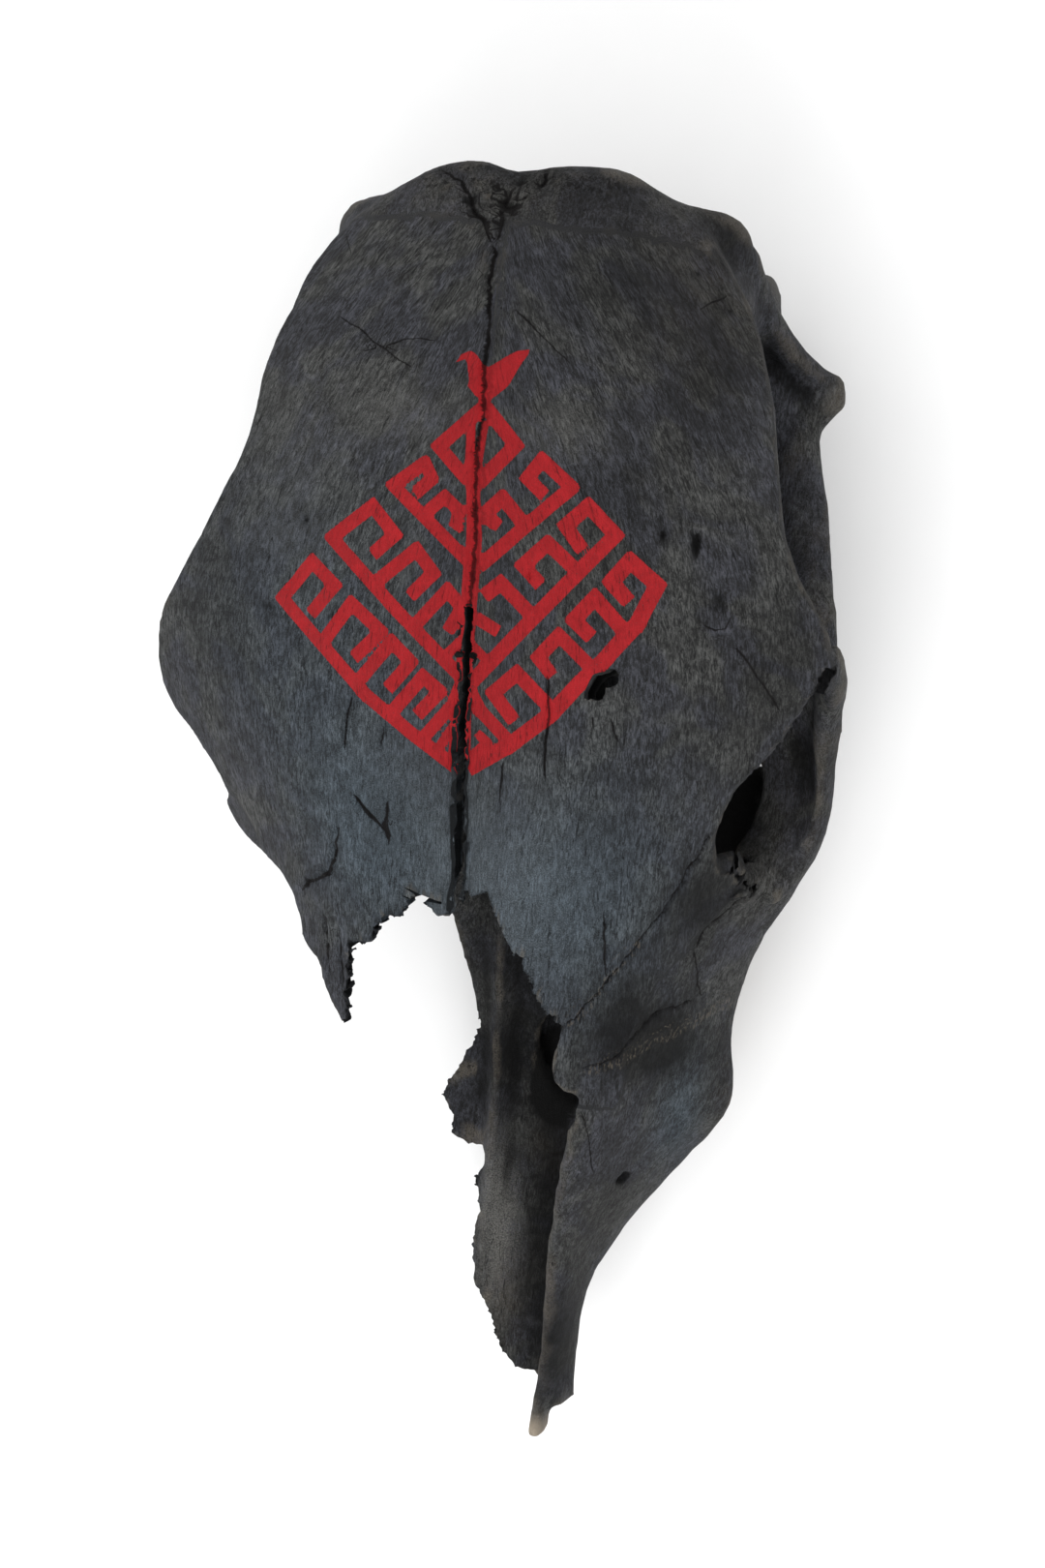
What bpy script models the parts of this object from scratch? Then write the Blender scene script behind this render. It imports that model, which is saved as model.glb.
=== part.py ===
"""A partial cow skull that lies on its upper molars and the two tips beside its condyles.

X runs to the animal's left, Y from the nose to the poll and Z up out of the forehead.
The tables below are in millimetres, and MM turns them into Blender's metres.
The plane x = 0 is the seam between the frontal bones, and z = 0 is the surface it lies on.
Each form is blocked out on its own; then the forms are fused, broken, thinned and fitted.
Last of all everything moves sideways together, so that the origin is under the skull's middle.
"""
import math

import bmesh
import bpy
from mathutils import Vector

MM = 0.001

# Driving dimensions of the bone
VOXEL = 1.8
SOFTENING = 4
WALL = 5.0
SKULL_TRIANGLES = 7900
TOOTH_GAP = 0.35

# The forehead's surface: height at the seam, half width, drop at that width, and its power
FOREHEAD_HEIGHT = [(190, 164), (182, 171), (165, 181), (140, 183), (100, 177), (60, 167), (20, 156),
                   (-20, 144), (-50, 135), (-80, 126), (-110, 116)]
FOREHEAD_HALF_WIDTH = [(190, 40), (165, 58), (140, 74), (121, 83), (90, 91), (46, 106), (20, 106),
                       (0, 100), (-30, 90), (-60, 82), (-90, 80)]
FOREHEAD_DROP = [(190, 22), (165, 25), (121, 27), (90, 29), (46, 33), (20, 42), (0, 50),
                 (-30, 66), (-60, 70), (-90, 70)]
FOREHEAD_POWER = 2.6

# The forehead's edges in plan, as (y, x)
RIGHT_EDGE = [(184, -29), (174, -42), (165, -55), (152, -66), (135, -72), (115, -79), (96, -83), (79, -91),
              (59, -102), (43, -112), (28, -117), (14, -114), (6, -106.5), (-2, -100), (-10, -94), (-18, -95.5),
              (-30, -84.5), (-43, -64.5), (-60, -58.5), (-82, -40.5), (-96, -34)]
LEFT_EDGE = [(184, 29), (179, 46), (175, 55), (160, 67), (148, 75), (125, 83), (108, 86), (92, 89), (81, 91),
             (67, 98), (56, 105), (46, 107), (38, 103), (30, 98), (21, 94), (13, 88), (5, 81), (-7, 76),
             (-20, 76), (-30, 72), (-50, 63), (-70, 55), (-96, 46)]
FOREHEAD_FRONT = -96
FOREHEAD_BACK = 181
FOREHEAD_THICKNESS = [(184, 20), (165, 14), (140, 9), (100, 8), (20, 7), (-40, 5.5), (-96, 4.5)]
PLATE_COLUMNS = 36
POLL_DIP = 3.0


def smooth_value(table, at):
    """Read a table of (position, value) rows on a smooth curve through the rows."""
    rows = sorted(table)
    if at <= rows[0][0]:
        return rows[0][1]
    if at >= rows[-1][0]:
        return rows[-1][1]
    index = max(i for i, row in enumerate(rows) if row[0] <= at)

    def slope(i):
        before = rows[max(i - 1, 0)]
        after = rows[min(i + 1, len(rows) - 1)]
        return (after[1] - before[1]) / (after[0] - before[0])

    (start, low), (end, high) = rows[index], rows[index + 1]
    span = end - start
    t = (at - start) / span
    return ((2 * t ** 3 - 3 * t ** 2 + 1) * low + (t ** 3 - 2 * t ** 2 + t) * span * slope(index)
            + (3 * t ** 2 - 2 * t ** 3) * high + (t ** 3 - t ** 2) * span * slope(index + 1))


def steps_between(start, end, pitch):
    """Return evenly spaced values from start to end, about one pitch apart."""
    count = max(1, round(abs(end - start) / pitch))
    return [start + (end - start) * i / count for i in range(count + 1)]


def spline(points, steps, closed=False):
    """Return points on a smooth curve through the given ones."""
    points = [Vector(point) for point in points]
    count = len(points)
    path = []
    for span in range(count if closed else count - 1):
        picks = [span + offset for offset in (-1, 0, 1, 2)]
        if closed:
            a, b, c, d = (points[i % count] for i in picks)
        else:
            a, b, c, d = (points[min(max(i, 0), count - 1)] for i in picks)
        for step in range(steps):
            t = step / steps
            path.append((2 * b + (c - a) * t + (2 * a - 5 * b + 4 * c - d) * t ** 2
                         + (3 * b - a - 3 * c + d) * t ** 3) / 2)
    if not closed:
        path.append(points[-1])
    return path


def shifted_ring(points, distance, closed=True):
    """Move each point of a flat curve sideways, to the left of its direction of travel."""
    count = len(points)
    moved = []
    for i, point in enumerate(points):
        before = points[i - 1] if closed or i > 0 else point
        after = points[(i + 1) % count] if closed or i < count - 1 else point
        along = (Vector(after) - Vector(before)).normalized()
        moved.append(Vector(point) + Vector((-along.y, along.x)) * distance)
    return moved


def object_from(name, mesh):
    """Put a bmesh in millimetres into the scene as an object in metres."""
    bmesh.ops.scale(mesh, vec=(MM, MM, MM), verts=mesh.verts)
    bmesh.ops.recalc_face_normals(mesh, faces=mesh.faces)
    data = bpy.data.meshes.new(name)
    mesh.to_mesh(data)
    mesh.free()
    obj = bpy.data.objects.new(name, data)
    bpy.context.collection.objects.link(obj)
    return obj


def loft(name, rings):
    """Skin equal rings of points into one closed solid."""
    mesh = bmesh.new()
    loops = [[mesh.verts.new(point) for point in ring] for ring in rings]
    for near, far in zip(loops, loops[1:]):
        for i in range(len(near)):
            j = (i + 1) % len(near)
            mesh.faces.new((near[i], near[j], far[j], far[i]))
    mesh.faces.new(loops[0])
    mesh.faces.new(loops[-1])
    return object_from(name, mesh)


def domed_end(ring, reach):
    """Return two smaller rings that close a loft with a rounded end, reach past its last ring."""
    middle = sum((Vector(point) for point in ring), Vector()) / len(ring)
    rings = []
    for size, part in ((0.88, 0.6), (0.6, 1.0)):
        rings.append([middle + (Vector(point) - middle) * size + Vector((0, reach * part, 0)) for point in ring])
    return rings


def plate_rings(ys, left_edge, right_edge, top, thickness):
    """Cross-sections of a curved plate with rounded rims; top gives its height over x and y."""
    rings = []
    for y in ys:
        low, high = smooth_value(right_edge, y), smooth_value(left_edge, y)
        depth = smooth_value(thickness, y)
        inset = 0.35 * depth
        span = high - low - 2 * inset
        xs = [low + inset + span * i / PLATE_COLUMNS for i in range(PLATE_COLUMNS + 1)]
        upper = [Vector((x, top(x, y))) for x in xs]
        lower = shifted_ring(upper, -depth, closed=False)
        left_rim = (upper[-1] + lower[-1]) / 2 + (upper[-1] - upper[-2]).normalized() * inset
        right_rim = (upper[0] + lower[0]) / 2 + (upper[0] - upper[1]).normalized() * inset
        outline = upper + [left_rim] + lower[::-1] + [right_rim]
        rings.append([(x, y, z) for x, z in outline])
    return rings


def sections(table, ys, steps, closed):
    """Blend a table of (y, outline) rows along y and smooth each outline."""
    count = len(table[0][1])
    outlines = []
    for y in ys:
        outline = []
        for i in range(count):
            x = smooth_value([(row[0], row[1][i][0]) for row in table], y)
            z = smooth_value([(row[0], row[1][i][1]) for row in table], y)
            outline.append((x, z))
        outlines.append((y, spline(outline, steps, closed)))
    return outlines


def mirrored(half):
    """Complete a half outline, which starts and ends on the middle plane."""
    return list(half) + [(-x, z) for x, z in reversed(half[1:-1])]


def tube(name, path, radii, steps=4, sides=14):
    """Sweep an ellipse along a path; radii are (sideways, upright) at each point."""
    centres = spline(path, steps)
    sizes = spline([(wide, tall, 0) for wide, tall in radii], steps)
    rings = []
    for i, centre in enumerate(centres):
        along = (centres[min(i + 1, len(centres) - 1)] - centres[max(i - 1, 0)]).normalized()
        guide = Vector((0, 1, 0)) if abs(along.z) > 0.85 else Vector((0, 0, 1))
        side = along.cross(guide).normalized()
        rise = side.cross(along)
        ring = []
        for k in range(sides):
            turn = 2 * math.pi * k / sides
            ring.append(centre + side * math.cos(turn) * sizes[i].x + rise * math.sin(turn) * sizes[i].y)
        rings.append(ring)
    return loft(name, rings)


def blob(name, centre, radii):
    """Make an ellipsoid."""
    mesh = bmesh.new()
    bmesh.ops.create_icosphere(mesh, subdivisions=4, radius=1)
    bmesh.ops.scale(mesh, vec=radii, verts=mesh.verts)
    bmesh.ops.translate(mesh, vec=centre, verts=mesh.verts)
    return object_from(name, mesh)


def prism(name, outline, bottom, top):
    """Raise a plan outline between two heights."""
    rings = [[(x, y, z) for x, y in outline] for z in (bottom, top)]
    return loft(name, rings)


def both_sides(maker, name):
    """Make a piece for the left and its mirror image for the right."""
    return [maker(name + "_left", 1), maker(name + "_right", -1)]


def bake(obj):
    """Turn an object's modifiers into plain mesh."""
    bpy.context.view_layer.update()
    graph = bpy.context.evaluated_depsgraph_get()
    result = bpy.data.meshes.new_from_object(obj.evaluated_get(graph))
    obj.modifiers.clear()
    obj.data = result


def combine(obj, others, operation="DIFFERENCE"):
    """Cut other solids out of an object, or keep what they share, and drop them."""
    group = bpy.data.collections.new("tools")
    bpy.context.scene.collection.children.link(group)
    for other in others:
        other.hide_render = True
        other.display_type = "WIRE"
        bpy.context.collection.objects.unlink(other)
        group.objects.link(other)
    change = obj.modifiers.new("change", "BOOLEAN")
    change.operation = operation
    change.operand_type = "COLLECTION"
    change.collection = group
    bake(obj)
    for other in others:
        bpy.data.objects.remove(other)
    bpy.data.collections.remove(group)
    return obj


def joined(name, pieces):
    """Join the blocked-out forms into one mesh object."""
    mesh = bmesh.new()
    for piece in pieces:
        mesh.from_mesh(piece.data)
        bpy.data.objects.remove(piece)
    data = bpy.data.meshes.new(name)
    mesh.to_mesh(data)
    mesh.free()
    obj = bpy.data.objects.new(name, data)
    bpy.context.collection.objects.link(obj)
    return obj


def connected_parts(mesh):
    """Return the vertices of each connected part of a bmesh."""
    unseen = set(mesh.verts)
    parts = []
    while unseen:
        part = [unseen.pop()]
        for vertex in part:
            for edge in vertex.link_edges:
                other = edge.other_vert(vertex)
                if other in unseen:
                    unseen.discard(other)
                    part.append(other)
        parts.append(part)
    return parts


def keep_largest(obj):
    """Drop loose crumbs and sealed voids, and leave the one closed outer skin in triangles."""
    mesh = bmesh.new()
    mesh.from_mesh(obj.data)
    parts = sorted(connected_parts(mesh), key=len)
    for part in parts[:-1]:
        bmesh.ops.delete(mesh, geom=part, context="VERTS")
    bmesh.ops.triangulate(mesh, faces=mesh.faces)
    mesh.to_mesh(obj.data)
    mesh.free()


def forehead_top(x, y):
    """Height of the outer surface of the frontal bones."""
    reach = min(abs(x) / smooth_value(FOREHEAD_HALF_WIDTH, y), 1.18)
    return smooth_value(FOREHEAD_HEIGHT, y) - smooth_value(FOREHEAD_DROP, y) * reach ** FOREHEAD_POWER


def dipped(point):
    """Pull the back of the forehead forward near the seam, where the poll has a shallow dip."""
    x, y, z = point
    near_back = min(max((y - 160) / 20, 0), 1)
    return (x, y - POLL_DIP * near_back * math.exp(-((x - 4) / 16) ** 2), z)


def frontal_shield():
    ys = steps_between(FOREHEAD_FRONT, FOREHEAD_BACK, 5)
    rings = plate_rings(ys, LEFT_EDGE, RIGHT_EDGE, forehead_top, FOREHEAD_THICKNESS)
    rings += domed_end(rings[-1], 4)
    return [loft("frontal_shield", [[dipped(point) for point in ring] for ring in rings])]


# Half outlines of the braincase, from the ceiling round to the middle of the base
CRANIUM = [
    (46, [(0, 150), (36, 146), (42, 134), (34, 118), (28, 104), (24, 92), (20, 82), (13, 74), (7, 71), (0, 70)]),
    (64, [(0, 160), (50, 152), (56, 140), (44, 122), (38, 104), (35, 90), (28, 78), (18, 69), (10, 65), (0, 64)]),
    (88, [(0, 166), (54, 158), (60, 146), (52, 126), (49, 106), (46, 88), (37, 72), (22, 61), (11, 58), (0, 58)]),
    (112, [(0, 172), (56, 163), (62, 150), (56, 130), (53, 108), (52, 88), (46, 70), (30, 57), (13, 53), (0, 54)]),
    (130, [(0, 176), (54, 166), (63, 152), (62, 132), (62, 112), (62, 92), (56, 72), (42, 56), (18, 50), (0, 51)]),
    (146, [(0, 176), (52, 168), (63, 152), (66, 132), (67, 112), (66, 92), (58, 74), (44, 57), (18, 49), (0, 50)]),
    (158, [(0, 174), (48, 168), (60, 152), (65, 134), (66, 114), (64, 95), (56, 78), (42, 60), (18, 49), (0, 50)]),
    (169, [(0, 170), (38, 164), (48, 148), (54, 130), (55, 112), (52, 95), (46, 80), (34, 66), (16, 54), (0, 53)]),
    (176, [(0, 170), (34, 164), (41, 154), (43, 146), (39, 137), (34, 131), (27, 127), (18, 125), (8, 124), (0, 124)]),
]
BRAIN_CENTRE = (0, 104, 104)
BRAIN_RADII = (38, 48, 32)
FORAMEN_HEIGHT = 76
FORAMEN_RADII = (19, 17)


def cranium():
    """Braincase and back wall, filled up to the frontal shield."""
    table = [(y, mirrored(half)) for y, half in CRANIUM]
    rings = []
    for y, outline in sections(table, steps_between(46, 176, 5), 3, closed=True):
        rings.append([(x, y, z) for x, z in outline])
    return [loft("cranium", rings)]


def occiput():
    """Knobs, crests and the bar of bone around the foramen magnum."""
    def condyle(name, side):
        path = [(8 * side, 166, 50), (24 * side, 173, 53), (34 * side, 174, 65), (33 * side, 170, 81),
                (24 * side, 164, 93)]
        return tube(name, path, [(8, 8), (11, 12), (13, 13), (11, 12), (7, 8)])

    def paracondylar_process(name, side):
        path = [(58 * side, 150, 92), (58 * side, 158, 66), (55 * side, 160, 40), (53 * side, 157, 14),
                (52 * side, 155, -6)]
        return tube(name, path, [(12, 14), (8, 13), (6.5, 12), (5.5, 9), (4.5, 7)])

    def nuchal_crest(name, side):
        back = 171 if side > 0 else 166
        path = [(36 * side, back, 154), (53 * side, back + 2, 142), (60 * side, back - 1, 127),
                (64 * side, 162, 115), (68 * side, 152, 104), (76 * side, 142, 93), (85 * side, 135, 83)]
        return tube(name, path, [(6, 6), (5, 6), (5, 6.5), (4.5, 7), (4.5, 7), (4.5, 6), (4.5, 5)])

    def bulla(name, side):
        return blob(name, (37 * side, 128, 48), (11, 18, 15))

    def base_tubercle(name, side):
        return blob(name, (9 * side, 118, 49), (7, 12, 8))

    base = tube("skull_base", [(0, 172, 53), (0, 150, 53), (0, 120, 54), (0, 90, 59), (0, 60, 67), (0, 20, 76)],
                [(19, 9), (15, 8), (13, 8), (12, 8), (11, 8), (10, 7)])
    ridge = tube("occipital_ridge", [(0, 173, 150), (0, 171, 130), (0, 168, 108)], [(9, 6), (6, 5), (3, 3)])
    pieces = [base, ridge]
    for maker in (condyle, paracondylar_process, nuchal_crest, bulla, base_tubercle):
        pieces += both_sides(maker, maker.__name__)
    return pieces


def zygomatic_roots():
    """The shelf that carries the cheek arch, on both sides, and a broken stub on the right."""
    def root(name, side):
        path = [(44 * side, 128, 92), (60 * side, 129, 88), (74 * side, 129, 84), (84 * side, 132, 82),
                (91 * side, 134, 80)]
        return tube(name, path, [(26, 18), (23, 12), (17, 8), (10, 6.5), (5, 5)], sides=18)

    stub = tube("right_arch_stub", [(-79, 120, 83), (-82, 106, 86), (-85, 96, 90)], [(5, 7), (5, 7), (4, 6)])
    return both_sides(root, "zygomatic_root") + [stub]


def left_cheek():
    """Arch, bar behind the orbit, lower rim and the crest that runs on to the facial tuber."""
    arch = tube("cheek_arch", [(76, 122, 83), (79, 106, 86), (82.5, 92, 90), (86.5, 76, 96), (91, 60, 101),
                               (96, 42, 103)],
                [(9, 9), (9.5, 8), (10, 6.5), (10, 6.5), (9.5, 8), (7, 9)])
    bar = tube("bar_behind_orbit", [(102, 47, 127), (103.5, 42, 116), (100, 38, 104)], [(4, 9), (4, 8), (5, 9)])
    rim = tube("lower_orbit_rim", [(101, 42, 108), (100, 28, 100), (99, 12, 92), (97, -4, 86), (91.5, -18, 82),
                                   (85, -26, 86)],
               [(5, 8), (4.5, 7), (4.5, 7), (5, 7), (5, 6), (5, 5)])
    crest = tube("facial_crest", [(97, 40, 92), (97, 18, 82), (95, -4, 75), (87, -22, 71), (79, -38, 67),
                                  (73, -56, 63), (71, -74, 60), (72, -92, 56), (65, -107, 50)],
                 [(4, 7), (5, 8), (6, 8), (6, 7), (5, 6), (5, 6), (5, 6), (6, 6), (4, 4)])
    return [arch, bar, rim, crest]


# The broad inner face of the lower rim of the orbit, from the rim inwards
ORBIT_SIDE = [
    (44, [(104, 116), (100, 110), (96, 106)]),
    (30, [(102, 103), (96, 97), (87, 93)]),
    (15, [(101, 94), (91, 88), (79, 84)]),
    (0, [(99.5, 88), (89, 82), (78, 78)]),
    (-14, [(96, 83), (84, 77), (72, 74)]),
    (-26, [(86, 84), (76, 78), (64, 74)]),
]


def orbit():
    """Front wall of the left orbit, and the broad inner face of its lower rim."""
    cup = blob("orbit_cup", (72, 0, 90), (30, 31, 27))
    behind = prism("open_behind", [(30, 16), (130, 16), (130, 60), (30, 60)], 40, 140)
    outside = prism("open_outside", [(83, -60), (130, -60), (130, 60), (83, 60)], 40, 140)
    combine(cup, [blob("eye_space", (78, 12, 106), (34, 39, 38)), behind, outside])
    rings = []
    for y, outline in sections(ORBIT_SIDE, steps_between(44, -26, 6), 4, closed=False):
        under = shifted_ring(outline, WALL, closed=False)
        rings.append([(x, y, z) for x, z in outline + under[::-1]])
    return [cup, loft("orbit_side", rings)]


# Half outlines of the thin walls between the orbits
CHAMBER = [
    (58, [(0, 158), (32, 150), (38, 136), (34, 116), (29, 100), (23, 85), (14, 73), (0, 69)]),
    (30, [(0, 150), (39, 142), (44, 130), (39, 111), (32, 96), (25, 83), (15, 75), (0, 72)]),
    (0, [(0, 144), (43, 134), (49, 122), (44, 106), (36, 93), (28, 84), (16, 78), (0, 76)]),
    (-28, [(0, 136), (44, 127), (52, 116), (50, 103), (43, 91), (32, 83), (18, 79), (0, 77)]),
]


def nasal_chamber():
    """Thin inner walls of both orbits, which meet below as a trough."""
    table = [(y, mirrored(half)) for y, half in CHAMBER]
    outer = sections(table, steps_between(58, -28, 6), 3, closed=True)
    walls = loft("chamber_walls", [[(x, y, z) for x, z in outline] for y, outline in outer])
    inner = [(y, shifted_ring(outline, -WALL)) for y, outline in outer if y < 48]
    last_y, last_outline = inner[-1]
    inner.append((last_y - 8, last_outline))
    space = loft("chamber_space", [[(x, y, z) for x, z in outline] for y, outline in inner])
    return [combine(walls, [space])]


# Outlines of the left side of the face, from the nasal edge down to the tooth row
FACE_WALL = [
    (14, [(99, 90), (100, 87), (101, 84), (101, 81), (100, 78), (97, 75), (92, 71), (86, 68), (80, 65), (76, 62)]),
    (-4, [(95, 87), (96, 84), (97, 81), (97, 77), (96, 72), (92, 67), (86, 62), (78, 57), (70, 51), (64, 44)]),
    (-24, [(52, 127), (63, 119), (72, 110), (79, 99), (84, 88), (89, 77), (87, 68), (80, 59), (71, 52), (66, 44)]),
    (-40, [(48, 122), (60, 110), (69, 99), (76, 87), (81, 76), (82, 67), (79, 59), (71, 52), (66, 45), (64, 36)]),
    (-58, [(40, 119), (53, 107), (63, 95), (71, 82), (76, 72), (77, 64), (74, 56), (67, 49), (63, 42), (62, 34)]),
    (-74, [(35, 118), (47, 108), (57, 96), (66, 83), (73, 71), (76, 62), (73, 54), (66, 47), (62, 41), (60, 33)]),
    (-92, [(37, 113), (46, 105), (55, 93), (64, 79), (72, 66), (78, 57), (74, 49), (64, 44), (59, 38), (57, 31)]),
    (-106, [(37, 110), (44, 103), (51, 92), (58, 79), (65, 65), (69, 53), (67, 46), (60, 41), (55, 36), (53, 31)]),
    (-122, [(34, 103), (40, 97), (45, 87), (51, 74), (55, 61), (58, 49), (57, 43), (53, 39), (50, 35), (48, 31)]),
    (-142, [(31, 91), (36, 86), (39, 77), (42, 66), (44, 55), (44, 46), (43, 41), (40, 38), (37, 35), (34, 33)]),
    (-160, [(30, 82), (34, 78), (36, 70), (37, 61), (37, 53), (36, 46), (35, 42), (33, 39), (30, 37), (27, 36)]),
    (-180, [(27, 69), (31, 67), (34, 62), (35, 56), (35, 51), (35, 47), (34, 43), (32, 40), (29, 39), (25, 38)]),
    (-200, [(24, 58), (27, 57), (30, 55), (33, 53), (35, 50), (36, 48), (35, 46), (33, 44), (30, 43), (26, 43)]),
    (-212, [(22, 54), (24, 54), (26, 53), (28, 52), (29, 50), (29, 49), (29, 47), (27, 46), (25, 45), (23, 45)]),
]


def left_face():
    """Lacrimal, maxilla and premaxilla as one wall."""
    rings = []
    for y, outline in sections(FACE_WALL, steps_between(14, -212, 5), 3, closed=False):
        inside = shifted_ring(outline, -WALL, closed=False)
        rings.append([(x, y, z) for x, z in outline + inside[::-1]])
    return [loft("face_wall", rings)]


# The bone that holds the cheek teeth: y, middle x, half width, bottom and top
TOOTH_BED = [(6, 50, 7, 40, 54), (0, 51, 13, 27, 56), (-15, 52, 14, 22, 56), (-50, 51.5, 14, 21, 54),
             (-85, 48, 13, 22, 52), (-105, 44.5, 11, 24, 50), (-125, 39.5, 9, 27, 48),
             (-140, 34.5, 6, 33, 46), (-150, 31, 4, 37, 45)]


def bed_value(column, y):
    return smooth_value([(row[0], row[column]) for row in TOOTH_BED], y)


def rounded_box_ring(count, power):
    """Points round a unit circle that is pushed out towards a square."""
    ring = []
    for k in range(count):
        turn = 2 * math.pi * k / count
        ring.append((math.copysign(abs(math.cos(turn)) ** power, math.cos(turn)),
                     math.copysign(abs(math.sin(turn)) ** power, math.sin(turn))))
    return ring


def tooth_bed():
    rings = []
    for y in steps_between(6, -150, 6):
        middle, half, bottom, top = (bed_value(column, y) for column in (1, 2, 3, 4))
        centre, rise = (top + bottom) / 2, (top - bottom) / 2
        rings.append([(middle + half * across, y, centre + rise * up) for across, up in rounded_box_ring(16, 0.6)])
    return [loft("tooth_bed", rings)]


WALL_EVERYWHERE = [(-250, WALL), (250, WALL)]
MIDDLE_EDGE = [(-200, -24), (0, -24)]
PALATE_LEFT = [(-18, 44), (-60, 43), (-100, 38), (-125, 33), (-145, 30), (-165, 30), (-185, 31), (-194, 32)]
PALATE_HEIGHT = [(-194, 44), (-150, 46), (-18, 46)]
FLOOR_LEFT = [(-20, 50), (-60, 48), (-100, 42), (-122, 38)]
FLOOR_HEIGHT = [(-14, 84), (-40, 76), (-60, 67), (-80, 58), (-100, 51), (-122, 46)]


def palate_and_nasal_floor():
    """Hard palate, the floor that rises over it, and the ridge along the middle."""
    def palate_top(x, y):
        return smooth_value(PALATE_HEIGHT, y) + abs(x) / 30

    def floor_top(x, y):
        height = smooth_value(FLOOR_HEIGHT, y)
        return height + (x / 14) ** 2 * min((height - 46) / 20, 1)

    palate = plate_rings(steps_between(-18, -194, 6), PALATE_LEFT, MIDDLE_EDGE, palate_top, WALL_EVERYWHERE)
    floor = plate_rings(steps_between(-14, -122, 6), FLOOR_LEFT, MIDDLE_EDGE, floor_top, WALL_EVERYWHERE)
    ridge = tube("middle_ridge", [(0, -170, 43), (0, -140, 46), (0, -105, 52), (0, -80, 60), (0, -50, 71),
                                  (0, -16, 83)],
                 [(2, 3), (2.4, 3.5), (3, 4), (3, 4), (3, 4.5), (3, 4.5)])
    return [loft("palate", palate), loft("nasal_floor", floor), ridge]


def pterygoid_plates():
    def pterygoid(name, side):
        path = [(19 * side, -42, 56), (20 * side, -12, 60), (19 * side, 20, 60), (17 * side, 48, 56),
                (18 * side, 66, 46)]
        return tube(name, path, [(2.4, 14), (2.4, 20), (2.4, 20), (2.6, 16), (3, 8)])

    return both_sides(pterygoid, "pterygoid")


# Broken front edge of the forehead, from the right orbit round the notch to the left flake
BROKEN_FRONT = [(-86, -13), (-92, -16), (-93, -19), (-91, -22), (-83, -28), (-71, -34), (-66, -37), (-61, -43),
                (-60, -49), (-58, -56), (-54, -60), (-50, -62), (-48, -68), (-44, -75), (-40, -81), (-37, -81),
                (-36, -76), (-37, -72), (-35, -69), (-36, -60), (-36, -56), (-33, -55), (-28, -54), (-27, -51),
                (-25, -47), (-19, -46), (-17, -43), (-14, -38), (-11, -41), (-7, -44), (-1, -42), (2, -36),
                (7, -36), (9, -39), (12, -45), (17, -53), (22, -62), (26, -69), (32, -73), (31, -78), (29, -85),
                (30, -90), (34, -94), (38, -93)]
# Broken middle edge of the nasal floor and palate, on to the tip of the premaxilla
BROKEN_MIDDLE = [(-24, -30), (-18, -42), (-11, -64), (-8, -78), (-12, -88), (-18, -98), (-20, -104), (-16, -110),
                 (-16, -117), (-9, -120), (-4, -120), (-4, -124), (-7, -129), (-4, -139), (-5, -153), (-3, -164),
                 (2, -171), (5, -179), (9, -186), (14, -190), (22, -191), (23, -200), (22, -209), (26, -210),
                 (28, -207), (28, -201), (32, -199), (35, -196), (38, -194)]
RAGGED_WALL = [(-56, -40), (-56, -12), (-50, -20), (-44, -16), (-36, -24), (-28, -20), (-20, -30), (-20, -40)]
PALATE_NOTCH = [(-16, -10), (16, -10), (16, -24), (11, -34), (0, -39), (-11, -34), (-16, -24)]
FRONTAL_HOLE = [(34, 27), (37, 35), (44, 37), (44, 34), (40, 32), (40, 28)]
SEAM_GAP = [(-1.2, -50), (-1.1, -20), (-0.6, 20), (0, 58), (0.6, 20), (1.1, -20), (1.2, -50)]


def front_break():
    """A cutter for the forehead's broken front, which follows the forehead and spares the floor."""
    def above_forehead(x, y):
        return forehead_top(x, y) + 15

    curtain = loft("curtain", plate_rings(steps_between(-110, -6, 6), [(-200, 60), (0, 60)],
                                          [(-200, -130), (0, -130)], above_forehead, [(-200, 40), (0, 40)]))
    cutter = prism("front_cutter", BROKEN_FRONT + [(36, -104), (-118, -104), (-118, -13)], 20, 200)
    return combine(cutter, [curtain], "INTERSECT")


def broken_edges():
    """Cutters for the broken outlines, the hole in the forehead and the open seam."""
    middle = BROKEN_MIDDLE + [(60, -194), (60, -230), (-70, -230), (-70, -30)]
    return [front_break(), prism("middle_cutter", middle, 20, 84), prism("ragged_wall", RAGGED_WALL, 60, 116),
            prism("palate_notch", PALATE_NOTCH, 30, 62), prism("frontal_hole", FRONTAL_HOLE, 120, 200),
            prism("seam_gap", SEAM_GAP, 100, 200)]


def hollows():
    """Cutters for the brain cavity, the foramen magnum and the small holes."""
    spine_path = [(0, 100, FORAMEN_HEIGHT + 12), (0, 150, FORAMEN_HEIGHT), (0, 210, FORAMEN_HEIGHT - 4)]
    spine_hole = tube("foramen_magnum", spine_path, [FORAMEN_RADII] * 3)
    sinus = blob("palate_sinus", (30, -84, 57), (18, 23, 11))
    infraorbital = tube("infraorbital_canal", [(42, -113, 79), (52, -124, 78), (62, -136, 77)], [(2.4, 3.6)] * 3)
    brow_pits = [blob("outer_brow_pit", (64, 77, 161), (4, 3.5, 5)), blob("inner_brow_pit", (54, 78, 165), (3, 3, 4))]
    brow_groove = tube("brow_groove", [(64, 76, 162), (68, 68, 160), (71, 59, 158)], [(3, 3), (4, 3), (2, 2)])
    rim_hollow = blob("rim_hollow", (87, 4, 101), (12, 30, 16))
    return [blob("brain_cavity", BRAIN_CENTRE, BRAIN_RADII), spine_hole, sinus, infraorbital, rim_hollow,
            brow_groove] + brow_pits


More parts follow.
